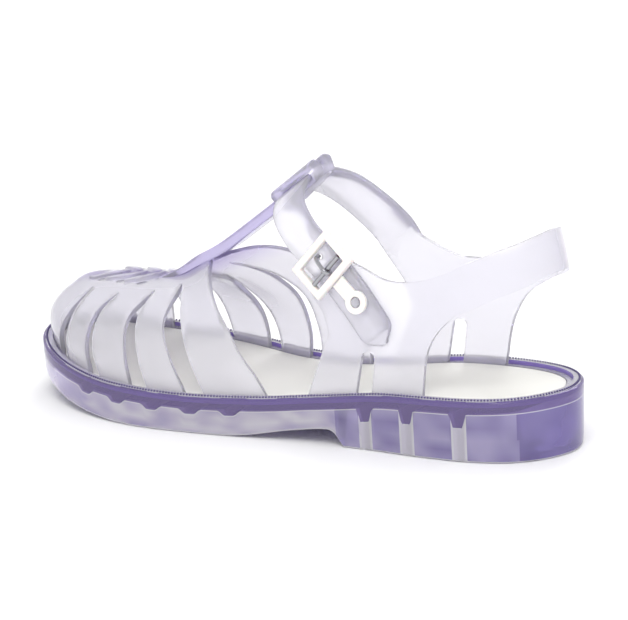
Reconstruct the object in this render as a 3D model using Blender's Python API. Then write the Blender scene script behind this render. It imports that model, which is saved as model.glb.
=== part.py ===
"""Clear jelly sandal, left shoe, standing on its sole.

Metres, +Z up, toe at +Y, outer side at -X. The origin is under the middle of the sole.
Tables hold shares of the named sizes. A station is a share of the length, from the heel.
"""
import math

import bmesh
import bpy
from mathutils import Matrix, Vector
from mathutils.geometry import delaunay_2d_cdt

MM = 0.001

# Sole
LENGTH = 255 * MM
BALL_WIDTH = 92 * MM
HEEL_HEIGHT = 26.5 * MM
TOE_SPRING = 11.4 * MM
ARCH_RISE = 6.5 * MM
RIM_WIDTH = 4.2 * MM
RIM_BEAD = 1.6 * MM
RIM_SHOULDER = 0.5 * MM
EDGE_ROUND = 0.8 * MM
SOLE_WALL = 3.0 * MM
SLAB = 2.0 * MM
SEAT_DEPTH = 3.6 * MM
TOOTH_PITCH = 17.5 * MM
TOOTH_WIDTH = 7.5 * MM
TOOTH_DROP = 2.0 * MM
HEEL_TOOTH_DROP = 5.5 * MM
TOOTH_SLOPE = 1.2 * MM
TEETH = 5
HEEL_WEB = 2.2 * MM
HEEL_DRAFT = 2.4 * MM
BREAST = 0.352
TOE_WALL = 0.965
FIRST_TOOTH = 0.535

# Upper
WALL = 2.0 * MM
INSTEP_HEIGHT = 98.5 * MM
COUNTER_HEIGHT = 90 * MM
HEEL_BULGE = 2.0 * MM
HEEL_CENTRE = 0.225
SIDE_BULGE = 1.5 * MM
TOE_BULGE = 3.4 * MM
BAND_HEIGHT = 1.7 * MM
BAND_WIDTH = 2.3 * MM
PLAIT_RAISE = 0.9 * MM
PLAIT_STEP = 0.7 * MM
PLAIT_SLIT_LENGTH = 7.5 * MM
PLAIT_SLIT_WIDTH = 1.3 * MM
SLIT_WIDTH = 7.6 * MM
SLIT_HEIGHT = 17 * MM
SLIT_LEAN = 2.2 * MM
BAR_WIDTH = 9.5 * MM
BAR_THICK = 4.2 * MM
BAR_TIP = 0.8 * MM
BAR_ROOT = 0.4
BAR_SPREAD = 0.5
STRAP_WIDTH = 16 * MM
STRAP_FLARE = 3.5 * MM
STRAP_ROOT = 0.35
STRAP_THICK = 2.3 * MM
KEEPER_LENGTH = 25 * MM
KEEPER_SKEW = 2.4 * MM
KEEPER_REACH = 11 * MM
KEEPER_WALL = 1.9 * MM
KEEPER_LOBE = 1.9 * MM

# Insole and fastening
INSOLE = 1.5 * MM
FRAME_BAR = 3.0 * MM
FRAME_THICK = 3.2 * MM
FRAME_ROUND = 0.7 * MM
FRAME_LENGTH = 17.5 * MM
ROD = 2.0 * MM
PRONG = 1.3 * MM
PRONG_WIDTH = 1.6 * MM
TONGUE_WIDTH = 6.0 * MM
TONGUE_THICK = 1.5 * MM
TONGUE_RING = 9.5 * MM
RING_HOLE = 4.6 * MM
STUD = 3.8 * MM
STRAP_HOLE = 2.8 * MM

GAP = 0.3 * MM
SIDE_ROOM = 0.5 * MM
OVERLAP = 0.15 * MM
FOOT_ROOM = 0.4 * MM
CELL = 7.5 * MM
EDGE_STEP = 7.5 * MM
CURVE_STEP = 6 * MM
TOOL_ROOM = 5 * MM
STRAP_STEP = 3.2 * MM
SECTION_POWER = 2.3


def table(columns, *rows):
    names = columns.split()
    return [dict(zip(names, row)) for row in rows]


# Half widths of the sole, as shares of half the ball width
OUTLINE = table(
    "station outer inner",
    (0.00, -0.066, 0.066),
    (0.02, 0.290, 0.411),
    (0.06, 0.524, 0.624),
    (0.12, 0.655, 0.748),
    (0.20, 0.711, 0.776),
    (0.30, 0.724, 0.737),
    (0.42, 0.785, 0.698),
    (0.55, 0.913, 0.792),
    (0.66, 1.000, 0.943),
    (0.73, 1.000, 1.000),
    (0.80, 0.930, 1.000),
    (0.87, 0.772, 0.915),
    (0.93, 0.542, 0.776),
    (0.97, 0.292, 0.590),
    (0.99, 0.073, 0.407),
    (1.00, -0.160, 0.160),
)

# Height of the rim's top, as a share of the heel height
RIM = table(
    "station height",
    (0.00, 1.010),
    (0.12, 0.962),
    (0.25, 0.917),
    (0.38, 0.770),
    (0.50, 0.642),
    (0.62, 0.596),
    (0.75, 0.623),
    (0.88, 0.732),
    (1.00, 0.909),
)

# Lift of the tread, as shares of the toe spring and of the arch rise
TREAD = table(
    "station spring arch",
    (0.000, 0.00, 0.00),
    (0.340, 0.00, 0.00),
    (0.349, 0.00, 0.38),
    (0.358, 0.00, 0.82),
    (0.371, 0.00, 1.00),
    (0.420, 0.00, 0.78),
    (0.540, 0.00, 0.03),
    (0.560, 0.00, 0.00),
    (0.700, 0.00, 0.00),
    (0.740, 0.02, 0.00),
    (0.820, 0.17, 0.00),
    (0.900, 0.46, 0.00),
    (0.960, 0.78, 0.00),
    (1.000, 1.00, 0.00),
)

# Ridge line of the last, as a share of the instep height
CREST = table(
    "station height",
    (0.147, 1.730),
    (0.265, 1.500),
    (0.343, 1.300),
    (0.422, 1.140),
    (0.500, 1.000),
    (0.571, 0.833),
    (0.649, 0.676),
    (0.696, 0.597),
    (0.735, 0.534),
    (0.769, 0.517),
    (0.818, 0.505),
    (0.865, 0.495),
    (0.888, 0.482),
    (0.908, 0.460),
)

# Backward swell of the heel, against the share of the counter's height
HEEL_CURVE = table(
    "station swell",
    (0.0, 0.0),
    (0.35, 0.80),
    (0.60, 0.80),
    (0.78, 0.00),
    (1.0, -2.10),
    (1.4, -4.00),
)

# The toe cage is laid out flat: across runs from the ridge to the foot as a share of SPREAD,
# along runs back from the middle of the toe as a share of the length.
SPREAD = 70 * MM
TOE_FAN = 45 * MM
RIDGE_RATE = 0.55
RIDGE_FRONT = 0.888

# Openings between the cage's strips, from the foot to the pointed tip
GAPS = table(
    "side foot foot_width low low_width mid mid_width tip_across tip",
    (-1, 0.039, 0.082, 0.022, 0.050, -0.003, 0.012, 0.27, -0.030),
    (-1, -0.094, 0.032, -0.073, 0.019, -0.079, 0.012, 0.28, -0.112),
    (-1, -0.190, 0.038, -0.170, 0.029, -0.165, 0.021, 0.22, -0.204),
    (-1, -0.297, 0.034, -0.2635, 0.036, -0.2495, 0.036, 0.15, -0.276),
    (1, -0.035, 0.033, -0.024, 0.018, -0.036, 0.012, 0.27, -0.072),
    (1, -0.126, 0.028, -0.108, 0.024, -0.124, 0.018, 0.26, -0.188),
    (1, -0.231, 0.035, -0.216, 0.028, -0.228, 0.024, 0.20, -0.292),
    (1, -0.324, 0.030, -0.322, 0.022, -0.345, 0.018, 0.11, -0.352),
)
GAP_ACROSS = (1.06, 0.78, 0.50)

# Rear edge of the cage on each side, from the foot to the T-bar
CAGE_REAR_OUTER = table(
    "across along",
    (1.06, -0.415),
    (0.90, -0.395),
    (0.76, -0.369),
    (0.61, -0.355),
    (0.43, -0.341),
    (0.27, -0.341),
    (0.13, -0.352),
    (0.03, -0.372),
)
CAGE_REAR_INNER = table(
    "across along",
    (1.06, -0.440),
    (0.90, -0.434),
    (0.70, -0.432),
    (0.50, -0.436),
    (0.34, -0.445),
    (0.20, -0.452),
    (0.11, -0.440),
    (0.05, -0.405),
)

# Raised leaves of the plait: each runs back from its own side up to the ridge
LEAVES = table(
    "side front",
    (-1, 0.024),
    (1, -0.008),
    (-1, -0.039),
    (1, -0.071),
    (-1, -0.102),
    (1, -0.133),
)
LEAF_ACROSS = 11.5 * MM
LEAF_ALONG = 32 * MM
LEAF_WIDTH = 4.6 * MM
LEAF_PITCH = 16 * MM

# Edges of the quarters and the heel band: stations, and shares of the counter height.
# Station 0 is the middle of the back, and a height of 0 is the foot in the rim.
TOP_OUTER = table(
    "station height",
    (0.358, 0.875),
    (0.340, 0.845),
    (0.308, 0.812),
    (0.269, 0.775),
    (0.222, 0.782),
    (0.171, 0.826),
    (0.114, 0.905),
    (0.075, 0.950),
    (0.000, 1.000),
)
TOP_INNER = table(
    "station height",
    (0.000, 1.000),
    (0.075, 0.945),
    (0.114, 0.892),
    (0.167, 0.800),
    (0.218, 0.752),
    (0.265, 0.750),
    (0.325, 0.818),
    (0.372, 0.895),
    (0.396, 0.880),
)
FRONT_INNER = table(
    "station height",
    (0.414, 0.820),
    (0.398, 0.745),
    (0.380, 0.670),
    (0.364, 0.600),
    (0.354, 0.520),
    (0.356, 0.450),
    (0.372, 0.340),
    (0.394, 0.180),
)
REAR_INNER = table(
    "station height",
    (0.190, 0.180),
    (0.186, 0.300),
    (0.182, 0.370),
    (0.170, 0.490),
    (0.144, 0.605),
    (0.108, 0.675),
    (0.078, 0.722),
    (0.000, 0.825),
)
REAR_OUTER = table(
    "station height",
    (0.000, 0.825),
    (0.073, 0.748),
    (0.113, 0.692),
    (0.151, 0.635),
    (0.180, 0.550),
    (0.195, 0.465),
    (0.200, 0.385),
    (0.205, 0.180),
)
FRONT_OUTER = table(
    "station height",
    (0.414, 0.180),
    (0.395, 0.330),
    (0.377, 0.460),
    (0.372, 0.505),
    (0.376, 0.545),
    (0.384, 0.603),
    (0.400, 0.660),
    (0.412, 0.722),
)
HEEL_WEBS = table(
    "station thick",
    (0.047, 0.0),
    (0.134, 1.0),
    (0.224, 1.0),
    (0.300, 1.0),
    (0.341, 0.0),
)
SLITS = table("side station", (-1, 0.316), (1, 0.284))

# Middle line of the ankle strap: side of the shoe, station, share of the counter height,
# distance out from the last in strap thicknesses, and the height that its slope is taken at
STRAP_LINE = table(
    "side station height out slope",
    (1, 0.312, 0.650, -0.43, 0.60),
    (1, 0.338, 0.728, -0.43, 0.62),
    (1, 0.364, 0.808, -0.43, 0.65),
    (1, 0.400, 0.915, -0.43, 0.70),
    (1, 0.452, 1.030, -0.20, 0.74),
    (0, 0.486, 1.092, 0.00, 1.00),
    (-1, 0.466, 1.025, 0.00, 0.98),
    (-1, 0.431, 0.932, 0.30, 0.93),
    (-1, 0.398, 0.869, 0.63, 0.87),
    (-1, 0.372, 0.815, 0.63, 0.82),
    (-1, 0.325, 0.692, 0.63, 0.69),
    (-1, 0.266, 0.490, 0.63, 0.49),
)
KEEPER_NORMAL = (0.0, 0.63, 0.77)

# Top of the T-bar: stations and shares of the instep height
BAR_LINE = table(
    "station height",
    (0.795, 0.490),
    (0.760, 0.518),
    (0.728, 0.560),
    (0.696, 0.619),
    (0.651, 0.686),
    (0.572, 0.836),
    (0.538, 0.903),
)
# Where it ends in the keeper: forward and up from the strap's middle, in keeper lengths
BAR_END = (0.3468, -0.21972)
BUCKLE_STATION = 0.373
BUCKLE_HEIGHT = 0.815
TONGUE_REACH = 12 * MM


def value(rows, column, at):
    """Monotone cubic through one column of a table."""
    xs = [row["station"] for row in rows]
    ys = [row[column] for row in rows]
    if at <= xs[0]:
        return ys[0]
    if at >= xs[-1]:
        return ys[-1]
    steps = [b - a for a, b in zip(xs, xs[1:])]
    rates = [(b - a) / h for a, b, h in zip(ys, ys[1:], steps)]
    slopes = [rates[0]]
    for before, after in zip(rates, rates[1:]):
        slopes.append(0.0 if before * after <= 0 else 2 * before * after / (before + after))
    slopes.append(rates[-1])
    i = max(k for k, x in enumerate(xs[:-1]) if x <= at)
    h = steps[i]
    t = (at - xs[i]) / h
    return (
        ys[i] * (1 + 2 * t) * (1 - t) ** 2
        + slopes[i] * h * t * (1 - t) ** 2
        + ys[i + 1] * t * t * (3 - 2 * t)
        + slopes[i + 1] * h * t * t * (t - 1)
    )


def curve(points, step, closed=False):
    """Centripetal Catmull-Rom curve through points of any dimension."""
    points = [Vector(p) for p in points]
    if closed:
        chain = [points[-1]] + points + points[:2]
    else:
        chain = [2 * points[0] - points[1]] + points + [2 * points[-1] - points[-2]]
    result = []
    for a, b, c, d in zip(chain, chain[1:], chain[2:], chain[3:]):
        t1 = max((b - a).length, 1e-9) ** 0.5
        t2 = t1 + max((c - b).length, 1e-9) ** 0.5
        t3 = t2 + max((d - c).length, 1e-9) ** 0.5
        count = max(1, round((c - b).length / step))
        for k in range(count):
            t = t1 + (t2 - t1) * k / count
            ab = a * ((t1 - t) / t1) + b * (t / t1)
            bc = b * ((t2 - t) / (t2 - t1)) + c * ((t - t1) / (t2 - t1))
            cd = c * ((t3 - t) / (t3 - t2)) + d * ((t - t2) / (t3 - t2))
            abc = ab * ((t2 - t) / t2) + bc * (t / t2)
            bcd = bc * ((t3 - t) / (t3 - t1)) + cd * ((t - t1) / (t3 - t1))
            result.append(abc * ((t2 - t) / (t2 - t1)) + bcd * ((t - t1) / (t2 - t1)))
    if not closed:
        result.append(points[-1])
    return result


def station(y):
    return y / LENGTH + 0.5


def along(share):
    return (share - 0.5) * LENGTH


MIDLINE = OUTLINE[0]["inner"] * BALL_WIDTH / 2


def rim(y):
    return value(RIM, "height", station(y)) * HEEL_HEIGHT


def ground(y):
    s = station(y)
    return value(TREAD, "spring", s) * TOE_SPRING + value(TREAD, "arch", s) * ARCH_RISE


def crest(y):
    return value(CREST, "height", station(y)) * INSTEP_HEIGHT


def sole_curve():
    """The sole's edge, counter-clockwise from the middle of the heel."""
    half = BALL_WIDTH / 2
    inner = [(row["inner"] * half, along(row["station"])) for row in OUTLINE]
    outer = [(-row["outer"] * half, along(row["station"])) for row in reversed(OUTLINE[1:-1])]
    return curve(inner + outer, 1 * MM, closed=True)


EDGE = sole_curve()


def normals(points):
    """Inward normals of a counter-clockwise ring."""
    result = []
    for before, after in zip(points[-1:] + points[:-1], points[1:] + points[:1]):
        run = (after - before).normalized()
        result.append(Vector((-run.y, run.x)))
    return result


EDGE_NORMALS = normals(EDGE)


def inset(distance):
    return [p + n * distance for p, n in zip(EDGE, EDGE_NORMALS)]


def ring_picks(spacing):
    """Indices along the edge, closer together at the heel breast and the toe."""
    picks = []
    travelled = 0.0
    for i, (a, b) in enumerate(zip(EDGE, EDGE[1:] + EDGE[:1])):
        s = station(a.y)
        breast = math.exp(-(((s - 0.36) / 0.02) ** 2))
        ends = max(0.0, s - 0.93) * 6 + max(0.0, 0.05 - s) * 9
        if travelled <= 0:
            picks.append(i)
            travelled += spacing / (1 + 1.6 * breast + ends)
        travelled -= (b - a).length
    return picks


class FootLine:
    """The line in the rim that the upper's outer face rises from."""

    def __init__(self, distance):
        self.points = inset(distance)
        self.lengths = [0.0]
        for a, b in zip(self.points, self.points[1:] + self.points[:1]):
            self.lengths.append(self.lengths[-1] + (b - a).length)
        self.total = self.lengths[-1]
        ys = [p.y for p in self.points]
        self.heel = self.lengths[ys.index(min(ys))]
        self.toe = self.lengths[ys.index(max(ys))]
        self.heel_index = ys.index(min(ys))

    def at(self, travelled):
        """Point and inward normal at a distance along the line."""
        travelled %= self.total
        low, high = 0, len(self.points)
        while high - low > 1:
            middle = (low + high) // 2
            if self.lengths[middle] <= travelled:
                low = middle
            else:
                high = middle
        nxt = (low + 1) % len(self.points)
        span = self.lengths[low + 1] - self.lengths[low]
        t = (travelled - self.lengths[low]) / span if span else 0.0
        point = self.points[low].lerp(self.points[nxt], t)
        normal = EDGE_NORMALS[low].lerp(EDGE_NORMALS[nxt], t).normalized()
        return point, normal

    def from_heel(self, side, y):
        """Signed distance from the middle of the back to a level y on one side."""
        count = len(self.points)
        i = self.heel_index
        travelled = 0.0
        while True:
            j = (i + side) % count
            step = (self.points[j] - self.points[i]).length
            if self.points[j].y >= y:
                rise = self.points[j].y - self.points[i].y
                share = (y - self.points[i].y) / rise if rise > 0 else 0.0
                return side * (travelled + step * max(0.0, share))
            travelled += step
            i = j


FOOT = FootLine(RIM_WIDTH + GAP + FOOT_ROOM)


def cage_surface(u, v):
    """Outer face of the toe cage at across u and along v of the flat layout."""
    spread = min(math.hypot(u, max(v, 0.0)) / SPREAD, 1.2)
    side = -1 if u < 0 else 1
    if v > 0:
        fan = TOE_FAN * abs(math.atan2(u, v)) / (math.pi / 2)
        ridge = along(RIDGE_FRONT)
    else:
        fan = TOE_FAN - v
        ridge = along(RIDGE_FRONT) + RIDGE_RATE * v
    foot, normal = FOOT.at(FOOT.toe - side * fan)
    base = rim(foot.y) - BAND_HEIGHT / 2 - SEAT_DEPTH + INSOLE
    top = Vector((MIDLINE, ridge))
    angle = (1 - min(spread, 1.0)) * math.pi / 2
    run = 1 - math.cos(angle) ** (2 / SECTION_POWER)
    rise = math.sin(angle) ** (2 / SECTION_POWER)
    out = (foot - top).normalized()
    bulge = SIDE_BULGE + (TOE_BULGE - SIDE_BULGE) * max(0.0, -normal.y) ** 2
    level = (rim(foot.y) + GAP - base) / (crest(ridge) - base)
    above = max(0.0, rise - level) / (1 - level)
    place = foot.lerp(top, run) + out * bulge * math.sin(math.pi * min(above * 1.3, 1))
    drop = max(0.0, spread - 1) * SPREAD
    return Vector((place.x, place.y, base + (crest(ridge) - base) * rise - drop))


def leg_surface(p, z):
    """Outer face of the quarters at distance p round the heel and height z."""
    foot, normal = FOOT.at(FOOT.heel + p)
    base = rim(foot.y)
    share = max(0.0, (z - base) / (crest(foot.y) - base))
    narrow = max(0.0, 1 - min(share, 0.995) ** SECTION_POWER) ** (1 / SECTION_POWER)
    x = MIDLINE + (foot.x - MIDLINE) * narrow
    rise = max(0.0, (z - base) / (COUNTER_HEIGHT - base))
    swell = value(HEEL_CURVE, "swell", rise) * HEEL_BULGE * max(0.0, normal.y) ** 2
    return Vector((x, foot.y - swell, z))


def facing(surface, u, v, outward):
    """Unit normal of a surface, turned to the given rough direction."""
    h = 0.4 * MM
    du = surface(u + h, v) - surface(u - h, v)
    dv = surface(u, v + h) - surface(u, v - h)
    normal = du.cross(dv).normalized()
    return normal if normal.dot(outward) > 0 else -normal


def inside(point, polygon):
    x, y = point[0], point[1]
    hit = False
    for a, b in zip(polygon, polygon[1:] + polygon[:1]):
        if (a[1] > y) != (b[1] > y) and x < (b[0] - a[0]) * (y - a[1]) / (b[1] - a[1]) + a[0]:
            hit = not hit
    return hit


def clear_of(point, segments, distance):
    for a, b in segments:
        if abs(a.x - point.x) > distance + abs(b.x - a.x):
            continue
        run = b - a
        t = max(0.0, min(1.0, (point - a).dot(run) / max(run.length_squared, 1e-18)))
        if (a + run * t - point).length < distance:
            return False
    return True


def triangulate(shapes, holes, cell, inner=()):
    """Points and triangles of a flat region, with a staggered grid of points inside it."""
    loops = [list(loop) for loop in list(shapes) + list(holes) + list(inner)]
    points = []
    edges = []
    segments = []
    for loop in loops:
        start = len(points)
        points.extend(Vector(p) for p in loop)
        ring = list(range(start, len(points)))
        edges.extend(zip(ring, ring[1:] + ring[:1]))
        segments.extend((Vector(a), Vector(b)) for a, b in zip(loop, loop[1:] + loop[:1]))
    xs = [p.x for p in points]
    ys = [p.y for p in points]
    rows = int((max(ys) - min(ys)) / (cell * 0.87)) + 1
    columns = int((max(xs) - min(xs)) / cell) + 2
    for j in range(rows):
        for i in range(columns):
            p = Vector((min(xs) + (i + 0.5 * (j % 2)) * cell, min(ys) + (j + 0.5) * cell * 0.87))
            if not any(inside(p, s) for s in shapes) or any(inside(p, h) for h in holes):
                continue
            if clear_of(p, segments, cell * 0.5):
                points.append(p)
    flat, _, faces, *_ = delaunay_2d_cdt(points, edges, [], 0, 1e-7)
    kept = []
    for face in faces:
        centre = sum((flat[i] for i in face), Vector((0, 0))) / 3
        if any(inside(centre, s) for s in shapes) and not any(inside(centre, h) for h in holes):
            kept.append(tuple(face))
    return flat, kept


def new_object(name, bm):
    bmesh.ops.delete(bm, geom=[v for v in bm.verts if not v.link_faces], context="VERTS")
    bmesh.ops.recalc_face_normals(bm, faces=bm.faces)
    mesh = bpy.data.meshes.new(name)
    bm.to_mesh(mesh)
    bm.free()
    if sum(f.center.dot(f.normal) * f.area for f in mesh.polygons) < 0:
        mesh.flip_normals()
    obj = bpy.data.objects.new(name, mesh)
    bpy.context.collection.objects.link(obj)
    return obj


def sheet(name, shapes, holes, surface, outward, thickness, cell, leaves=()):
    """Closed wall over a flat layout, with its outer face on the surface."""
    inner = [loop for pair in leaves for loop in pair]
    flat, faces = triangulate(shapes, holes, cell, inner)
    bm = bmesh.new()
    outer = []
    under = []
    for p in flat:
        place = surface(p.x, p.y)
        normal = facing(surface, p.x, p.y, outward(place))
        raised = any(inside(p, loop) or on_loop(p, loop) for _, loop in leaves)
        outer.append(bm.verts.new(place + normal * (PLAIT_RAISE if raised else 0.0)))
        under.append(bm.verts.new(place - normal * thickness))
    counts = {}
    for face in faces:
        bm.faces.new([outer[i] for i in face])
        bm.faces.new([under[i] for i in reversed(face)])
        for a, b in zip(face, face[1:] + face[:1]):
            counts[(a, b)] = counts.get((a, b), 0) + 1
    for a, b in counts:
        if (b, a) not in counts:
            bm.faces.new((outer[b], outer[a], under[a], under[b]))
    return new_object(name, bm)


def on_loop(point, loop):
    return min((Vector(q) - point).length for q in loop) < 0.01 * MM


def stack(name, rings, cell):
    """Closed solid through matching rings of (points, height), capped at both ends."""
    bm = bmesh.new()
    levels = []
    for points, height in rings:
        levels.append([bm.verts.new((p.x, p.y, height(p.y))) for p in points])
    for upper, lower in zip(levels, levels[1:]):
        for i, _ in enumerate(upper):
            j = (i + 1) % len(upper)
            bm.faces.new((upper[i], upper[j], lower[j], lower[i]))
    for level, (points, height) in ((levels[0], rings[0]), (levels[-1], rings[-1])):
        flat, faces = triangulate([points], [], cell)
        verts = list(level)
        for p in flat[len(points):]:
            verts.append(bm.verts.new((p.x, p.y, height(p.y))))
        for face in faces:
            bm.faces.new([verts[i] for i in face])
    return new_object(name, bm)


def band(name, rings):
    """Closed ring-shaped solid through rings of (points, height)."""
    bm = bmesh.new()
    levels = []
    for points, height in rings:
        levels.append([bm.verts.new((p.x, p.y, height(p.y))) for p in points])
    for one, two in zip(levels, levels[1:] + levels[:1]):
        for i, _ in enumerate(one):
            j = (i + 1) % len(one)
            bm.faces.new((one[i], one[j], two[j], two[i]))
    return new_object(name, bm)


def combine(body, tool, operation):
    """Boolean of two solids. The tool is used up."""
    modifier = body.modifiers.new(operation.lower(), "BOOLEAN")
    modifier.operation = operation
    modifier.solver = "EXACT"
    modifier.object = tool
    graph = bpy.context.evaluated_depsgraph_get()
    mesh = bpy.data.meshes.new_from_object(body.evaluated_get(graph))
    body.modifiers.clear()
    body.data = mesh
    bpy.data.objects.remove(tool)


def tidy(obj, distance=0.02 * MM):
    """Merges the slivers that a Boolean leaves."""
    bm = bmesh.new()
    bm.from_mesh(obj.data)
    bmesh.ops.remove_doubles(bm, verts=bm.verts, dist=distance)
    bmesh.ops.dissolve_degenerate(bm, edges=bm.edges, dist=distance)
    bmesh.ops.triangulate(bm, faces=[f for f in bm.faces if len(f.verts) > 4])
    bm.to_mesh(obj.data)
    bm.free()


def material(obj, name, colour, roughness, metallic=0.0, transmission=0.0):
    mat = bpy.data.materials.new(name)
    mat.use_nodes = True
    shader = mat.node_tree.nodes["Principled BSDF"]
    shader.inputs["Base Color"].default_value = (*colour, 1.0)
    shader.inputs["Roughness"].default_value = roughness
    shader.inputs["Metallic"].default_value = metallic
    shader.inputs["Transmission Weight"].default_value = transmission
    obj.data.materials.clear()
    obj.data.materials.append(mat)
    obj.data.shade_smooth()
    obj.data.set_sharp_from_angle(angle=math.radians(35))


def clip(points, low, high):
    """The part of a sole ring between two levels of y."""
    result = []
    for a, b in zip(points, points[1:] + points[:1]):
        if low <= a.y <= high:
            result.append(a)
        for level in (low, high):
            if (a.y - level) * (b.y - level) < 0:
                result.append(a.lerp(b, (level - a.y) / (b.y - a.y)))
    return result


def slab_under(y):
    return rim(y) - SEAT_DEPTH - SLAB


def pocket(low, high, distance, levels, spacing=10 * MM):
    """Cutter that hollows the sole from below between two levels of y.

    Each level is a height and how far the two end walls have closed in there.
    """
    points = [inset(distance)[i] for i in ring_picks(spacing)]
    outline = clip(points, low, high)
    middle = (low + high) / 2
    rings = []
    for height, draft in levels:
        narrow = 1 - 2 * draft / (high - low)
        rings.append(([Vector((p.x, middle + (p.y - middle) * narrow)) for p in outline], height))
    return stack("pocket", rings, 14 * MM)


def hollow_sole(body):
    """Forefoot hollow with its cross teeth, and the heel's wells between their webs."""
    breast = along(BREAST)
    toe = along(TOE_WALL)
    first = along(FIRST_TOOTH)

    def tooth_tip(y):
        return slab_under(y) - TOOTH_DROP

    def heel_tooth_tip(y):
        return slab_under(y) - HEEL_TOOTH_DROP

    def floor(y):
        return -SLAB

    combine(body, pocket(breast, toe, SOLE_WALL, [(tooth_tip, 0), (floor, 0)]), "DIFFERENCE")
    edges = [breast] + [first + i * TOOTH_PITCH for i in range(TEETH)] + [toe + TOOTH_WIDTH / 2]
    for low, high in zip(edges, edges[1:]):
        start = low + (TOOTH_WIDTH / 2 - TOOTH_SLOPE if low > breast else EDGE_ROUND)
        stop = high - TOOTH_WIDTH / 2 + (TOOTH_SLOPE if high < toe else 0)
        levels = [(slab_under, TOOTH_SLOPE), (tooth_tip, 0), (floor, 0)]
        combine(body, pocket(start, stop, SOLE_WALL + EDGE_ROUND / 2, levels), "DIFFERENCE")

    for row, after in zip(HEEL_WEBS, HEEL_WEBS[1:]):
        low = along(row["station"]) + row["thick"] * HEEL_WEB / 2
        high = along(after["station"]) - after["thick"] * HEEL_WEB / 2
        levels = [(slab_under, HEEL_DRAFT), (heel_tooth_tip, HEEL_DRAFT / 3), (floor, 0)]
        combine(body, pocket(low, high, SOLE_WALL, levels), "DIFFERENCE")


def make_outsole():
    picks = ring_picks(EDGE_STEP)

    def ring(distance):
        points = inset(distance)
        return [points[i] for i in picks]

    body = stack("outsole", [
        (ring(RIM_WIDTH - RIM_BEAD), rim),
        (ring(RIM_WIDTH - RIM_BEAD - 1.2 * MM), lambda y: rim(y) - RIM_SHOULDER),
        (ring(0), lambda y: rim(y) - RIM_SHOULDER - EDGE_ROUND),
        (ring(EDGE_ROUND), lambda y: ground(y) + EDGE_ROUND),
        (ring(2 * EDGE_ROUND), ground),
    ], 12 * MM)
    seat = [inset(RIM_WIDTH)[i] for i in picks]
    combine(body, stack("seat", [
        (seat, lambda y: rim(y) + TOOL_ROOM),
        (seat, lambda y: rim(y) - SEAT_DEPTH),
    ], 12 * MM), "DIFFERENCE")

    hollow_sole(body)
    tidy(body)
    material(body, "violet clear PVC", (0.42, 0.36, 0.66), 0.12, transmission=0.8)
    return body


def make_insole():
    points = inset(RIM_WIDTH + GAP + BAND_WIDTH + GAP)
    outline = [points[i] for i in ring_picks(9 * MM)]
    body = stack("insole", [
        (outline, lambda y: rim(y) - SEAT_DEPTH + GAP + INSOLE),
        (outline, lambda y: rim(y) - SEAT_DEPTH + GAP),
    ], 18 * MM)
    material(body, "white insole foam", (0.86, 0.86, 0.84), 0.6)
    return body


def gap_outline(row):
    """Outline of one opening of the cage in the flat layout."""
    side = row["side"]
    shares = (row["foot"], row["low"], row["mid"])
    widths = (row["foot_width"], row["low_width"], row["mid_width"])
    tip = (side * row["tip_across"] * SPREAD, row["tip"] * LENGTH)
    front = []
    rear = []
    for across, share, width in zip(GAP_ACROSS, shares, widths):
        front.append((side * across * SPREAD, (share + width / 2) * LENGTH))
        rear.append((side * across * SPREAD, (share - width / 2) * LENGTH))
    loop = curve(front + [tip], 5 * MM)
    return loop + list(reversed(curve(rear + [tip], 5 * MM)))[1:]


def lens(middle, run, length, width, sides):
    """Pointed oval in the flat layout."""
    across = Vector((-run.y, run.x))
    loop = []
    for i in range(sides):
        angle = 2 * math.pi * i / sides
        fat = math.sin(angle) * abs(math.sin(angle)) ** 0.3
        loop.append(middle + run * (length / 2 * math.cos(angle)) + across * (width / 2 * fat))
    return loop


def leaf_line(row):
    """Middle and direction of one leaf of the plait."""
    run = Vector((-row["side"] * LEAF_ACROSS, -LEAF_ALONG))
    start = Vector((row["side"] * (LEAF_ACROSS - 0.5 * MM), row["front"] * LENGTH))
    return start + run / 2, run.normalized()


def leaf_outlines(row):
    """Foot and top of one raised leaf."""
    middle, run = leaf_line(row)
    length = math.hypot(LEAF_ACROSS, LEAF_ALONG)
    return (
        lens(middle, run, length, LEAF_WIDTH, 10),
        lens(middle, run, length - 5 * PLAIT_STEP, LEAF_WIDTH - 2 * PLAIT_STEP, 10),
    )


def plait_slit(row):
    """Slit behind a leaf of the plait, on its own side of the ridge."""
    _, run = leaf_line(row)
    place = Vector((row["side"] * 0.86 * LEAF_ACROSS, row["front"] * LENGTH - 0.91 * LEAF_PITCH))
    return lens(place, run, PLAIT_SLIT_LENGTH, PLAIT_SLIT_WIDTH, 8)


def make_cage():
    """Toe cage: strips from both sides of the rim, meeting in a plait along the ridge."""
    front = SPREAD
    steps = 26
    arc = []
    for i in range(steps + 1):
        angle = math.pi * i / steps
        arc.append(Vector((front * math.cos(angle), front * math.sin(angle))))
    outer = [Vector((-row["across"] * SPREAD, row["along"] * LENGTH)) for row in CAGE_REAR_OUTER]
    inner = [Vector((row["across"] * SPREAD, row["along"] * LENGTH)) for row in CAGE_REAR_INNER]
    outer[0].x = -front
    inner[0].x = front
    side_out = [arc[-1].lerp(outer[0], k / 20) for k in range(1, 20)]
    side_in = [inner[0].lerp(arc[0], k / 20) for k in range(1, 20)]
    shape = arc + side_out + curve(outer, 5 * MM) + list(reversed(curve(inner, 5 * MM))) + side_in
    holes = [gap_outline(row) for row in GAPS] + [plait_slit(row) for row in LEAVES]
    leaves = [leaf_outlines(row) for row in LEAVES]
    middle = Vector((MIDLINE, 0, 0))
    return sheet("cage", [shape], holes, cage_surface, lambda q: q - middle, WALL, CELL, leaves)


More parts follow.
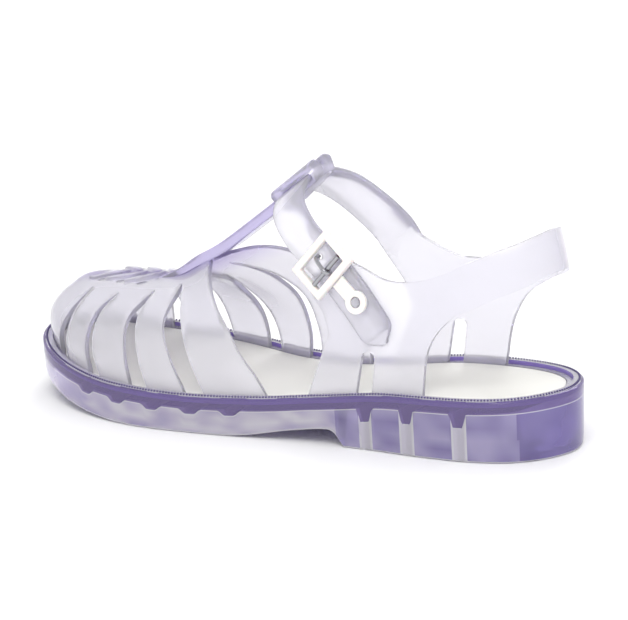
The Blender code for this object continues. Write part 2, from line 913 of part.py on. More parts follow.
def edge_points(rows, side):
    """Flat layout points of an edge of the quarters."""
    points = []
    for row in rows:
        if row["station"] == 0:
            p = 0.0
        else:
            p = FOOT.from_heel(side, along(row["station"]))
        points.append(Vector((p, max(row["height"] * COUNTER_HEIGHT, foot_height(p)))))
    return points


def foot_height(p):
    return rim(FOOT.at(FOOT.heel + p)[0].y) - SEAT_DEPTH + INSOLE - BAND_HEIGHT / 2


def foot_run(start, end):
    count = 8
    result = []
    for i in range(count + 1):
        p = start + (end - start) * i / count
        result.append(Vector((p, foot_height(p))))
    return result


def make_quarters():
    """Both quarters, the heel band between them and the tab under the buckle."""
    top = curve(edge_points(TOP_OUTER, -1)[:-1] + edge_points(TOP_INNER, 1), CURVE_STEP)
    front_in = curve(edge_points(FRONT_INNER, 1), CURVE_STEP)
    rear = curve(edge_points(REAR_INNER, 1)[:-1] + edge_points(REAR_OUTER, -1), CURVE_STEP)
    front_out = curve(edge_points(FRONT_OUTER, -1), CURVE_STEP)
    foot_in = foot_run(front_in[-1].x, rear[0].x)
    foot_out = foot_run(rear[-1].x, front_out[0].x)
    shape = top + front_in + foot_in + rear + foot_out + front_out
    holes = []
    for row in SLITS:
        p = FOOT.from_heel(row["side"], along(row["station"]))
        low = foot_height(p) - TOOL_ROOM
        high = rim(FOOT.at(FOOT.heel + p)[0].y) + SLIT_HEIGHT
        half = SLIT_WIDTH / 2
        lean = p - row["side"] * SLIT_LEAN
        holes.append([
            Vector((p - half, low)),
            Vector((p + half, low)),
            Vector((lean + half * 0.62, high - half)),
            Vector((lean + half * 0.35, high - half * 0.25)),
            Vector((lean, high)),
            Vector((lean - half * 0.35, high - half * 0.25)),
            Vector((lean - half * 0.62, high - half)),
        ])
    axis = Vector((MIDLINE, along(HEEL_CENTRE), 0))

    def outward(q):
        away = Vector((q.x - axis.x, min(0.0, q.y - axis.y) * 0.8, 0.0))
        return away

    return sheet("quarters", [shape], holes, leg_surface, outward, WALL, CELL)


def strap_frames(step=STRAP_STEP):
    """Places, forward directions and normals along the middle of the ankle strap."""
    places = []
    faces = []
    for row in STRAP_LINE:
        z = row["height"] * COUNTER_HEIGHT
        if row["side"] == 0:
            places.append(Vector((MIDLINE, along(row["station"]), z)))
            faces.append(Vector(KEEPER_NORMAL).normalized())
            continue
        p = FOOT.from_heel(row["side"], along(row["station"]))
        slope = row["slope"] * COUNTER_HEIGHT
        normal = facing(leg_surface, p, slope, Vector((row["side"], 0, 0.3)))
        places.append(leg_surface(p, z) + normal * row["out"] * STRAP_THICK)
        faces.append(normal)
    both = [Vector((*a, *b)) for a, b in zip(places, [f * 0.02 for f in faces])]
    line = curve(both, step)
    points = [Vector(q[:3]) for q in line]
    frames = []
    for i, q in enumerate(line):
        run = (points[min(i + 1, len(points) - 1)] - points[max(i - 1, 0)]).normalized()
        normal = Vector(q[3:6])
        normal = (normal - run * normal.dot(run)).normalized()
        frames.append((points[i], run, normal))
    return frames


def ribbon(name, frames, width, above, below, corner=0.5 * MM):
    """Closed strip along frames. width, above and below may follow the run from 0 to 1."""
    bm = bmesh.new()
    rings = []
    for i, (place, run, normal) in enumerate(frames):
        t = i / (len(frames) - 1)
        across = run.cross(normal)
        w, a, b = width(t) / 2, above(t), below(t)
        c = corner
        profile = ((w, a - c), (w - c, a), (c - w, a), (-w, a - c),
                   (-w, c - b), (c - w, -b), (w - c, -b), (w, c - b))
        rings.append([bm.verts.new(place + across * x + normal * y) for x, y in profile])
    for one, two in zip(rings, rings[1:]):
        for i in range(8):
            j = (i + 1) % 8
            bm.faces.new((one[i], one[j], two[j], two[i]))
    bm.faces.new(rings[0])
    bm.faces.new(list(reversed(rings[-1])))
    return new_object(name, bm)


STRAP = strap_frames()


def buckle_frame_axes():
    """Origin on the last under the buckle, strap direction, across direction and normal."""
    p = FOOT.from_heel(-1, along(BUCKLE_STATION))
    z = BUCKLE_HEIGHT * COUNTER_HEIGHT
    origin = leg_surface(p, z)
    normal = facing(leg_surface, p, z, Vector((-1, 0, 0.3)))
    nearest = min(STRAP, key=lambda f: (f[0] - origin).length)
    run = -nearest[1]
    run = (run - normal * run.dot(normal)).normalized()
    return origin, run, normal.cross(run), normal


BUCKLE = buckle_frame_axes()


def place_at_buckle(a, c, n):
    origin, run, across, normal = BUCKLE
    return origin + run * a + across * c + normal * n


def buckle_matrix():
    origin, run, across, normal = BUCKLE
    return Matrix((
        (run.x, across.x, normal.x, origin.x),
        (run.y, across.y, normal.y, origin.y),
        (run.z, across.z, normal.z, origin.z),
        (0, 0, 0, 1),
    ))


def buckle_box(name, low, high):
    """Box in the buckle's own axes."""
    bm = bmesh.new()
    bmesh.ops.create_cube(bm, size=1)
    for v in bm.verts:
        v.co = Vector([(a + b) / 2 + (b - a) * k for a, b, k in zip(low, high, v.co)])
    bmesh.ops.transform(bm, matrix=buckle_matrix(), verts=bm.verts)
    return new_object(name, bm)


def buckle_peg(name, centre, radius, low, high, sides=16):
    """Round peg along the buckle's normal."""
    bm = bmesh.new()
    bmesh.ops.create_cone(bm, cap_ends=True, segments=sides, radius1=radius, radius2=radius,
                          depth=high - low)
    middle = Matrix.Translation((centre[0], centre[1], (low + high) / 2))
    bmesh.ops.transform(bm, matrix=buckle_matrix() @ middle, verts=bm.verts)
    return new_object(name, bm)


def make_upper():
    """The moulded upper in one solid: cage, T-bar, keeper, quarters, strap and feather band."""
    picks = ring_picks(EDGE_STEP)
    outer = inset(RIM_WIDTH + GAP)
    under = inset(RIM_WIDTH + GAP + BAND_WIDTH)
    outer = [outer[i] for i in picks]
    under = [under[i] for i in picks]

    def low(y):
        return rim(y) - SEAT_DEPTH + GAP

    def high(y):
        return low(y) + BAND_HEIGHT

    upper = band("upper", [(outer, high), (under, high), (under, low), (outer, low)])
    combine(upper, make_cage(), "UNION")
    combine(upper, make_quarters(), "UNION")

    bar_top = [Vector((MIDLINE, along(r["station"]), r["height"] * INSTEP_HEIGHT))
               for r in BAR_LINE]
    over = next(row for row in STRAP_LINE if row["side"] == 0)
    bar_top.append(Vector((
        MIDLINE,
        along(over["station"]) + BAR_END[0] * KEEPER_LENGTH,
        over["height"] * COUNTER_HEIGHT + BAR_END[1] * KEEPER_LENGTH,
    )))
    line = curve(bar_top, CURVE_STEP)
    frames = []
    for i, q in enumerate(line):
        run = (line[min(i + 1, len(line) - 1)] - line[max(i - 1, 0)]).normalized()
        frames.append((q, run, Vector((1, 0, 0)).cross(run) * -1))
    frames = [(q, r, n if n.z > 0 else -n) for q, r, n in frames]

    def bar_below(t):
        grown = min(1.0, t / BAR_ROOT)
        return BAR_TIP + (BAR_THICK - BAR_TIP) * grown * grown * (3 - 2 * grown)

    def bar_width(t):
        return BAR_WIDTH * (1 + BAR_SPREAD * max(0.0, 1 - t / BAR_ROOT) ** 2)

    bar = ribbon("bar", frames, bar_width, lambda t: 0.0, bar_below, BAR_TIP / 2)

    middle = min(range(len(STRAP)), key=lambda i: abs(STRAP[i][0].x - MIDLINE)
                 + (0 if STRAP[i][0].z > COUNTER_HEIGHT else 1))
    reach = round(KEEPER_REACH / STRAP_STEP)
    span = []
    for i, (place, run, normal) in enumerate(STRAP[middle - reach:middle + reach + 1]):
        t = i / (2 * reach)
        skew = KEEPER_SKEW * t * t * (3 - 2 * t)
        span.append((place + run.cross(normal) * skew, run, normal))
    channel = STRAP[middle - reach - 2:middle + reach + 3]

    def lobe(t):
        return abs(math.sin(2 * math.pi * t)) ** 0.6

    half = STRAP_THICK / 2 + GAP
    keeper = ribbon("keeper", span, lambda t: KEEPER_LENGTH + 2 * KEEPER_LOBE * (lobe(t) - 0.5),
                    lambda t: half + KEEPER_WALL * 0.7 + KEEPER_LOBE * lobe(t),
                    lambda t: half + KEEPER_WALL, 1.2 * MM)
    combine(keeper, bar, "UNION")
    combine(keeper, ribbon("channel", channel, lambda t: STRAP_WIDTH + 2 * GAP,
                           lambda t: half, lambda t: half), "DIFFERENCE")
    combine(upper, keeper, "UNION")

    inner_end = (middle - reach) / (len(STRAP) - 1)
    round_end = 1 - STRAP_WIDTH / 2 / (STRAP_STEP * (len(STRAP) - 1))

    def strap_width(t):
        if t < inner_end:
            hidden = min(1.0, t / (STRAP_ROOT * inner_end))
            flare = STRAP_FLARE * math.sin(math.pi / 2 * (1 - t / inner_end))
            return (STRAP_WIDTH + flare) * (0.45 + 0.55 * hidden * hidden * (3 - 2 * hidden))
        if t > round_end:
            return STRAP_WIDTH * max(0.3, 1 - ((t - round_end) / (1 - round_end)) ** 2.5)
        return STRAP_WIDTH

    strap = ribbon("strap", STRAP, strap_width, lambda t: STRAP_THICK / 2,
                   lambda t: STRAP_THICK / 2)
    tip = FRAME_LENGTH / 2 - FRAME_BAR - PRONG
    ring = -FRAME_LENGTH / 2 - TONGUE_REACH
    for a in (tip, ring):
        combine(strap, buckle_peg("hole", (a, 0), STRAP_HOLE / 2, -1.0 * MM, STRAP_THICK + TOOL_ROOM, 12),
                "DIFFERENCE")
    combine(upper, strap, "UNION")
    tidy(upper)
    material(upper, "clear PVC", (0.86, 0.86, 0.92), 0.3, transmission=0.9)
    return upper


def make_buckle():
    """Moulded frame with its steel rod and prong, and the tongue buttoned on its stud."""
    half_long = FRAME_LENGTH / 2
    half_wide = STRAP_WIDTH / 2 + SIDE_ROOM + FRAME_BAR
    low = STRAP_THICK + 3 * GAP
    high = low + FRAME_THICK
    frame = buckle_box("buckle_frame", (-half_long, -half_wide, low), (half_long, half_wide, high))
    window = (half_long - FRAME_BAR, half_wide - FRAME_BAR)
    combine(frame, buckle_box("window", (-window[0], -window[1], low - TOOL_ROOM),
                              (window[0], window[1], high + TOOL_ROOM)), "DIFFERENCE")
    bevel = frame.modifiers.new("bevel", "BEVEL")
    bevel.width = FRAME_ROUND
    bevel.segments = 2
    bevel.limit_method = "ANGLE"
    material(frame, "milky moulded plastic", (0.9, 0.87, 0.83), 0.25)

    rod_a = -window[0] + ROD / 2 + PRONG + 2 * GAP
    rod_n = STRAP_THICK + 4 * GAP + PRONG + ROD / 2
    bm = bmesh.new()
    bmesh.ops.create_cone(bm, cap_ends=True, segments=12, radius1=ROD / 2, radius2=ROD / 2,
                          depth=2 * (window[1] - GAP))
    turn = Matrix.Translation((rod_a, 0, rod_n)) @ Matrix.Rotation(math.pi / 2, 4, "X")
    bmesh.ops.transform(bm, matrix=buckle_matrix() @ turn, verts=bm.verts)
    rod = new_object("buckle_rod", bm)
    material(rod, "polished steel", (0.7, 0.7, 0.72), 0.2, metallic=1.0)

    prong_frames = []
    _, run, across, normal = BUCKLE
    tip = window[0] - PRONG
    eye = ROD / 2 + GAP + PRONG / 2
    route = []
    for k in range(9):
        angle = math.radians(-60 - k * 30)
        route.append((rod_a + eye * math.cos(angle), rod_n + eye * math.sin(angle)))
    route += [
        (rod_a + 1.2 * eye, rod_n + 0.75 * eye),
        (tip - PRONG, rod_n + 0.2 * eye),
        (tip, rod_n - 0.5 * eye),
        (tip, STRAP_THICK),
    ]
    for i, (a, n) in enumerate(route):
        before = route[max(i - 1, 0)]
        after = route[min(i + 1, len(route) - 1)]
        direction = (run * (after[0] - before[0]) + normal * (after[1] - before[1])).normalized()
        prong_frames.append((place_at_buckle(a, 0, n), direction, across.cross(direction)))
    prong = ribbon("buckle_prong", prong_frames, lambda t: PRONG_WIDTH,
                   lambda t: PRONG / 2 * (1 - 0.2 * t), lambda t: PRONG / 2 * (1 - 0.2 * t),
                   PRONG / 4)
    material(prong, "polished steel prong", (0.7, 0.7, 0.72), 0.2, metallic=1.0)

    strap_top = STRAP_THICK + 2 * GAP
    ring_a = -half_long - TONGUE_REACH
    tongue = buckle_peg("buckle_tongue", (ring_a, 0), TONGUE_RING / 2, strap_top + GAP,
                        strap_top + GAP + TONGUE_THICK, 24)
    neck = buckle_box("neck", (ring_a, -TONGUE_WIDTH / 2, strap_top + GAP + OVERLAP),
                      (-half_long - GAP, TONGUE_WIDTH / 2, strap_top + GAP + TONGUE_THICK - OVERLAP))
    combine(tongue, neck, "UNION")
    combine(tongue, buckle_peg("bore", (ring_a, 0), RING_HOLE / 2, 0, 12 * MM, 20), "DIFFERENCE")
    material(tongue, "milky moulded plastic tongue", (0.9, 0.87, 0.83), 0.25)

    stud = buckle_peg("tongue_stud", (ring_a, 0), STUD / 2, strap_top + GAP,
                      strap_top + GAP + TONGUE_THICK + 0.4 * MM, 16)
    shaft = buckle_peg("shaft", (ring_a, 0), STRAP_HOLE / 2 - GAP, GAP, strap_top + GAP + OVERLAP, 12)
    combine(stud, shaft, "UNION")
    material(stud, "clear PVC stud", (0.86, 0.86, 0.92), 0.3, transmission=0.9)
    return frame, rod, prong, tongue, stud


def main():
    for obj in list(bpy.data.objects):
        bpy.data.objects.remove(obj, do_unlink=True)
    make_outsole()
    make_insole()
    make_upper()
    make_buckle()


main()
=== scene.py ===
import math
import bmesh
import bpy
from mathutils import Matrix, Vector, noise
from mathutils.geometry import delaunay_2d_cdt
from mathutils.kdtree import KDTree


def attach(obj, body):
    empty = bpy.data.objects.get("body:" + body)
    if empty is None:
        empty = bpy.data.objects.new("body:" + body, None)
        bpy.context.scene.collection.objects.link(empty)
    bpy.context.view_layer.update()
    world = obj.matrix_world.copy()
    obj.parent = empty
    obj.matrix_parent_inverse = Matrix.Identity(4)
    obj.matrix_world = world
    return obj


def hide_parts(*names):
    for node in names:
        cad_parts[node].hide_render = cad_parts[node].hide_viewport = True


# A clear jelly sandal, left shoe. The toe is at +Y, the outer side at -X.
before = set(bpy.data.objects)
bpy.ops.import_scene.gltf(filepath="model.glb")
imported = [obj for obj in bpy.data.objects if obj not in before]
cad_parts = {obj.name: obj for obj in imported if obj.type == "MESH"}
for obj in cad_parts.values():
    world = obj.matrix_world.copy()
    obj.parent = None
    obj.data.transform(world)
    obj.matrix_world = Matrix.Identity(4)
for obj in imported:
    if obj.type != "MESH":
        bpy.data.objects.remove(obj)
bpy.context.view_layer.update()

mm = 0.001

# Shared by all pieces
shoeLength = 255 * mm
ballWidth = 92 * mm
instepHeight = 98.5 * mm
counterHeight = 90 * mm
wallThick = 2.0 * mm
bandHeight = 1.7 * mm  # feather band of the upper, moulded into the rim
bandWidth = 2.3 * mm
insoleThick = 1.5 * mm
clearance = 0.3 * mm
sideRoom = 0.5 * mm  # strap in the buckle's window
overlap = 0.15 * mm
footRoom = 0.4 * mm
toolRoom = 5 * mm  # cutters past what they cut
cellSize = 2.7 * mm
curveStep = 1.8 * mm
strapStep = 1.2 * mm
sectionPower = 2.3  # fullness of the last's cross section


def table(columns, *rows):
    names = columns.split()
    return [dict(zip(names, row)) for row in rows]


sole = {
    "heelHeight": 26.5 * mm,
    "toeSpring": 11.4 * mm,
    "archRise": 6.5 * mm,
    "rimWidth": 4.2 * mm,
    "edgeRound": 0.8 * mm,
    "wall": 3.0 * mm,
    "slab": 2.0 * mm,
    "seat": 3.6 * mm,  # how deep the insole's seat lies
    "toothPitch": 17.5 * mm,
    "toothWidth": 7.5 * mm,
    "toothDrop": 2.0 * mm,  # below the slab
    "toothSlope": 1.2 * mm,  # lean of a tooth's sides
    "teeth": 5,
    "firstTooth": 0.535,  # share of the length
    "toeWall": 0.965,  # share of the length
    "breast": 0.352,  # share of the length, where the heel starts
    "web": 2.2 * mm,  # cross webs between the heel's wells
    "draft": 2.4 * mm,  # lean of the wells' end walls
    "fingerDrop": 5.5 * mm,  # dark fingers over the webs
}

# Half widths of the sole, as shares of half the ball width
outlineRows = table(
    "station outer inner",
    (0.00, -0.066, 0.066),
    (0.02, 0.290, 0.411),
    (0.06, 0.524, 0.624),
    (0.12, 0.655, 0.748),
    (0.20, 0.711, 0.776),
    (0.30, 0.724, 0.737),
    (0.42, 0.785, 0.698),
    (0.55, 0.913, 0.792),
    (0.66, 1.000, 0.943),
    (0.73, 1.000, 1.000),
    (0.80, 0.930, 1.000),
    (0.87, 0.772, 0.915),
    (0.93, 0.542, 0.776),
    (0.97, 0.292, 0.590),
    (0.99, 0.073, 0.407),
    (1.00, -0.160, 0.160),
)

# Height of the rim's top, as a share of the heel height
rimRows = table(
    "station height",
    (0.00, 1.010),
    (0.12, 0.962),
    (0.25, 0.917),
    (0.38, 0.770),
    (0.50, 0.642),
    (0.62, 0.596),
    (0.75, 0.623),
    (0.88, 0.732),
    (1.00, 0.909),
)

# Lift of the tread, as shares of the toe spring and of the arch rise
treadRows = table(
    "station spring arch",
    (0.000, 0.00, 0.00),
    (0.340, 0.00, 0.00),
    (0.349, 0.00, 0.38),
    (0.358, 0.00, 0.82),
    (0.371, 0.00, 1.00),
    (0.420, 0.00, 0.78),
    (0.540, 0.00, 0.03),
    (0.560, 0.00, 0.00),
    (0.700, 0.00, 0.00),
    (0.740, 0.02, 0.00),
    (0.820, 0.17, 0.00),
    (0.900, 0.46, 0.00),
    (0.960, 0.78, 0.00),
    (1.000, 1.00, 0.00),
)

# Ridge line of the last, as a share of the instep height
crestRows = table(
    "station height",
    (0.147, 1.730),
    (0.265, 1.500),
    (0.343, 1.300),
    (0.422, 1.140),
    (0.500, 1.000),
    (0.571, 0.833),
    (0.649, 0.676),
    (0.696, 0.597),
    (0.735, 0.534),
    (0.769, 0.517),
    (0.818, 0.505),
    (0.865, 0.495),
    (0.888, 0.482),
    (0.908, 0.460),
)

# Backward swell of the heel, against the share of the counter's height
heelCurve = table(
    "station swell",
    (0.0, 0.0),
    (0.35, 0.80),
    (0.60, 0.80),
    (0.78, 0.00),
    (1.0, -2.10),
    (1.4, -4.00),
)

cage = {
    "spread": 70 * mm,  # from the ridge to the foot, laid out flat
    "fan": 45 * mm,  # how far the front turns round the toe
    "ridgeRate": 0.55,  # ridge kept per step back in the layout
    "ridgeFront": 0.888,
    "sideBulge": 1.5 * mm,
    "toeBulge": 3.4 * mm,
    "plaitRaise": 0.9 * mm,  # leaves above the cage
    "plaitStep": 0.7 * mm,  # slope of a leaf's edge
    "slitLength": 7.5 * mm,
    "slitWidth": 1.3 * mm,
    "leafAcross": 11.5 * mm,
    "leafAlong": 32 * mm,
    "leafWidth": 4.6 * mm,
    "leafPitch": 16 * mm,
}
# The toe cage is laid out flat: across runs from the ridge to the foot as a share of its spread,
# along runs back from the middle of the toe as a share of the length.

# Openings between the cage's strips, from the foot to the pointed tip
gapRows = table(
    "side foot footWidth low lowWidth mid midWidth tipAcross tip",
    (-1, 0.039, 0.082, 0.022, 0.050, -0.003, 0.012, 0.27, -0.030),
    (-1, -0.094, 0.032, -0.073, 0.019, -0.079, 0.012, 0.28, -0.112),
    (-1, -0.190, 0.038, -0.170, 0.029, -0.165, 0.021, 0.22, -0.204),
    (-1, -0.297, 0.034, -0.2635, 0.036, -0.2495, 0.036, 0.15, -0.276),
    (1, -0.035, 0.033, -0.024, 0.018, -0.036, 0.012, 0.27, -0.072),
    (1, -0.126, 0.028, -0.108, 0.024, -0.124, 0.018, 0.26, -0.188),
    (1, -0.231, 0.035, -0.216, 0.028, -0.228, 0.024, 0.20, -0.292),
    (1, -0.324, 0.030, -0.322, 0.022, -0.345, 0.018, 0.11, -0.352),
)
gapAcross = (1.06, 0.78, 0.50)

# Rear edge of the cage on each side, from the foot to the T-bar
cageRearOuter = table(
    "across along",
    (1.06, -0.415),
    (0.90, -0.395),
    (0.76, -0.369),
    (0.61, -0.355),
    (0.43, -0.341),
    (0.27, -0.341),
    (0.13, -0.352),
    (0.03, -0.372),
)
cageRearInner = table(
    "across along",
    (1.06, -0.440),
    (0.90, -0.434),
    (0.70, -0.432),
    (0.50, -0.436),
    (0.34, -0.445),
    (0.20, -0.452),
    (0.11, -0.440),
    (0.05, -0.405),
)

# Raised leaves of the plait: each runs back from its own side up to the ridge
leafRows = table(
    "side front",
    (-1, 0.024),
    (1, -0.008),
    (-1, -0.039),
    (1, -0.071),
    (-1, -0.102),
    (1, -0.133),
)

quarter = {
    "heelBulge": 2.0 * mm,
    "heelCentre": 0.225,  # share of the length
    "slitWidth": 7.6 * mm,
    "slitHeight": 17 * mm,
    "slitLean": 3.6 * mm,  # the slit's top against its foot
}
# Edges of the quarters and the heel band: stations, and shares of the counter height.
# Station 0 is the middle of the back, and a height of 0 is the foot in the rim.
topOuter = table(
    "station height",
    (0.358, 0.875),
    (0.340, 0.845),
    (0.308, 0.812),
    (0.269, 0.775),
    (0.222, 0.782),
    (0.171, 0.826),
    (0.114, 0.905),
    (0.075, 0.950),
    (0.000, 1.000),
)
topInner = table(
    "station height",
    (0.000, 1.000),
    (0.075, 0.945),
    (0.114, 0.892),
    (0.167, 0.800),
    (0.218, 0.752),
    (0.265, 0.750),
    (0.325, 0.818),
    (0.372, 0.895),
    (0.396, 0.880),
)
frontInner = table(
    "station height",
    (0.414, 0.820),
    (0.398, 0.745),
    (0.380, 0.670),
    (0.364, 0.600),
    (0.354, 0.520),
    (0.356, 0.450),
    (0.372, 0.340),
    (0.394, 0.180),
)
rearInner = table(
    "station height",
    (0.190, 0.180),
    (0.186, 0.300),
    (0.182, 0.370),
    (0.170, 0.490),
    (0.144, 0.605),
    (0.108, 0.675),
    (0.078, 0.722),
    (0.000, 0.825),
)
rearOuter = table(
    "station height",
    (0.000, 0.825),
    (0.073, 0.748),
    (0.113, 0.692),
    (0.151, 0.635),
    (0.180, 0.550),
    (0.195, 0.465),
    (0.200, 0.385),
    (0.205, 0.180),
)
frontOuter = table(
    "station height",
    (0.414, 0.180),
    (0.395, 0.330),
    (0.377, 0.460),
    (0.372, 0.505),
    (0.376, 0.545),
    (0.384, 0.603),
    (0.400, 0.660),
    (0.412, 0.722),
)
heelWebs = table(
    "station thick",
    (0.047, 0.0),
    (0.134, 1.0),
    (0.224, 1.0),
    (0.300, 1.0),
    (0.341, 0.0),
)
slitRows = table("side station", (-1, 0.316), (1, 0.284))

strap = {
    "width": 16 * mm,
    "thick": 2.3 * mm,
    "flare": 3.5 * mm,  # extra width at the inner quarter
    "root": 0.35,  # share of the inner run that is hidden
    "hole": 2.8 * mm,
}
keeper = {
    "length": 25 * mm,
    "skew": 2.4 * mm,  # turn against the strap
    "reach": 11 * mm,  # half its run along the strap
    "wall": 1.9 * mm,
    "lobe": 1.9 * mm,  # swell of its two rolls
}
# Middle line of the ankle strap: side of the shoe, station, share of the counter height,
# distance out from the last in strap thicknesses, and the height that its slope is taken at
strapLine = table(
    "side station height out slope",
    (1, 0.312, 0.650, -0.43, 0.60),
    (1, 0.338, 0.728, -0.43, 0.62),
    (1, 0.364, 0.808, -0.43, 0.65),
    (1, 0.400, 0.915, -0.43, 0.70),
    (1, 0.452, 1.030, -0.20, 0.74),
    (0, 0.486, 1.092, 0.00, 1.00),
    (-1, 0.466, 1.025, 0.00, 0.98),
    (-1, 0.431, 0.932, 0.30, 0.93),
    (-1, 0.398, 0.869, 0.63, 0.87),
    (-1, 0.372, 0.815, 0.63, 0.82),
    (-1, 0.325, 0.692, 0.63, 0.69),
    (-1, 0.266, 0.490, 0.63, 0.49),
)
keeperNormal = (0.0, 0.63, 0.77)

bar = {
    "width": 9.5 * mm,
    "thick": 4.2 * mm,
    "tip": 0.8 * mm,  # thickness at its root in the plait
    "root": 0.4,  # share of its run that it thickens over
    "spread": 0.5,  # extra width at the root
}
# Top of the T-bar: stations and shares of the instep height
barLine = table(
    "station height",
    (0.795, 0.490),
    (0.760, 0.518),
    (0.728, 0.560),
    (0.696, 0.619),
    (0.651, 0.686),
    (0.572, 0.836),
    (0.538, 0.903),
)
# Where it ends in the keeper: forward and up from the strap's middle, in keeper lengths
barEnd = (0.3468, -0.21972)


buckle = {
    "station": 0.373,  # share of the length
    "height": 0.815,  # share of the counter's height
    "length": 17.5 * mm,
    "bar": 3.0 * mm,  # width of the frame's bars
    "thick": 3.2 * mm,
    "rod": 2.0 * mm,
    "prongThick": 1.3 * mm,
    "prongWidth": 1.6 * mm,
    "tongueWidth": 6.0 * mm,
    "tongueThick": 1.5 * mm,
    "tongueReach": 12 * mm,
    "ring": 9.5 * mm,
    "ringHole": 4.6 * mm,
    "stud": 3.8 * mm,
}


def value(rows, column, at):
    # Monotone cubic through one column of a table.
    xs = [row["station"] for row in rows]
    ys = [row[column] for row in rows]
    if at <= xs[0]:
        return ys[0]
    if at >= xs[-1]:
        return ys[-1]
    steps = [b - a for a, b in zip(xs, xs[1:])]
    rates = [(b - a) / h for a, b, h in zip(ys, ys[1:], steps)]
    slopes = [rates[0]]
    for before, after in zip(rates, rates[1:]):
        slopes.append(0.0 if before * after <= 0 else 2 * before * after / (before + after))
    slopes.append(rates[-1])
    i = max(k for k, x in enumerate(xs[:-1]) if x <= at)
    h = steps[i]
    t = (at - xs[i]) / h
    return (
        ys[i] * (1 + 2 * t) * (1 - t) ** 2
        + slopes[i] * h * t * (1 - t) ** 2
        + ys[i + 1] * t * t * (3 - 2 * t)
        + slopes[i + 1] * h * t * t * (t - 1)
    )


def curve(points, step, closed=False):
    # Centripetal Catmull-Rom curve through points of any dimension.
    points = [Vector(p) for p in points]
    if closed:
        chain = [points[-1]] + points + points[:2]
    else:
        chain = [2 * points[0] - points[1]] + points + [2 * points[-1] - points[-2]]
    result = []
    for a, b, c, d in zip(chain, chain[1:], chain[2:], chain[3:]):
        t1 = max((b - a).length, 1e-9) ** 0.5
        t2 = t1 + max((c - b).length, 1e-9) ** 0.5
        t3 = t2 + max((d - c).length, 1e-9) ** 0.5
        count = max(1, round((c - b).length / step))
        for k in range(count):
            t = t1 + (t2 - t1) * k / count
            ab = a * ((t1 - t) / t1) + b * (t / t1)
            bc = b * ((t2 - t) / (t2 - t1)) + c * ((t - t1) / (t2 - t1))
            cd = c * ((t3 - t) / (t3 - t2)) + d * ((t - t2) / (t3 - t2))
            abc = ab * ((t2 - t) / t2) + bc * (t / t2)
            bcd = bc * ((t3 - t) / (t3 - t1)) + cd * ((t - t1) / (t3 - t1))
            result.append(abc * ((t2 - t) / (t2 - t1)) + bcd * ((t - t1) / (t2 - t1)))
    if not closed:
        result.append(points[-1])
    return result


def station(y):
    return y / shoeLength + 0.5


def along(share):
    return (share - 0.5) * shoeLength


midline = outlineRows[0]["inner"] * ballWidth / 2


def rim(y):
    return value(rimRows, "height", station(y)) * sole["heelHeight"]


def ground(y):
    s = station(y)
    return value(treadRows, "spring", s) * sole["toeSpring"] + value(treadRows, "arch", s) * sole["archRise"]


def crest(y):
    return value(crestRows, "height", station(y)) * instepHeight


def soleCurve():
    # The sole's edge, counter-clockwise from the middle of the heel.
    half = ballWidth / 2
    inner = [(row["inner"] * half, along(row["station"])) for row in outlineRows]
    outer = [(-row["outer"] * half, along(row["station"])) for row in reversed(outlineRows[1:-1])]
    return curve(inner + outer, 1 * mm, closed=True)


soleEdge = soleCurve()


def normals(points):
    # Inward normals of a counter-clockwise ring.
    result = []
    for before, after in zip(points[-1:] + points[:-1], points[1:] + points[:1]):
        run = (after - before).normalized()
        result.append(Vector((-run.y, run.x)))
    return result


edgeNormals = normals(soleEdge)


def inset(distance):
    return [p + n * distance for p, n in zip(soleEdge, edgeNormals)]


def ringPicks(spacing):
    # Indices along the edge, closer together at the heel breast and the toe.
    picks = []
    travelled = 0.0
    for i, (a, b) in enumerate(zip(soleEdge, soleEdge[1:] + soleEdge[:1])):
        s = station(a.y)
        breast = math.exp(-(((s - 0.36) / 0.02) ** 2))
        ends = max(0.0, s - 0.93) * 6 + max(0.0, 0.05 - s) * 9
        if travelled <= 0:
            picks.append(i)
            travelled += spacing / (1 + 1.6 * breast + ends)
        travelled -= (b - a).length
    return picks


class FootLine:
    # The line in the rim that the upper's outer face rises from.

    def __init__(self, distance):
        self.points = inset(distance)
        self.lengths = [0.0]
        for a, b in zip(self.points, self.points[1:] + self.points[:1]):
            self.lengths.append(self.lengths[-1] + (b - a).length)
        self.total = self.lengths[-1]
        ys = [p.y for p in self.points]
        self.heel = self.lengths[ys.index(min(ys))]
        self.toe = self.lengths[ys.index(max(ys))]
        self.heelIndex = ys.index(min(ys))

    def at(self, travelled):
        # Point and inward normal at a distance along the line
        travelled %= self.total
        low, high = 0, len(self.points)
        while high - low > 1:
            middle = (low + high) // 2
            if self.lengths[middle] <= travelled:
                low = middle
            else:
                high = middle
        nxt = (low + 1) % len(self.points)
        span = self.lengths[low + 1] - self.lengths[low]
        t = (travelled - self.lengths[low]) / span if span else 0.0
        point = self.points[low].lerp(self.points[nxt], t)
        normal = edgeNormals[low].lerp(edgeNormals[nxt], t).normalized()
        return point, normal

    def fromHeel(self, side, y):
        # Signed distance from the middle of the back to a level y on one side
        count = len(self.points)
        i = self.heelIndex
        travelled = 0.0
        while True:
            j = (i + side) % count
            step = (self.points[j] - self.points[i]).length
            if self.points[j].y >= y:
                rise = self.points[j].y - self.points[i].y
                share = (y - self.points[i].y) / rise if rise > 0 else 0.0
                return side * (travelled + step * max(0.0, share))
            travelled += step
            i = j


footLine = FootLine(sole["rimWidth"] + clearance + footRoom)


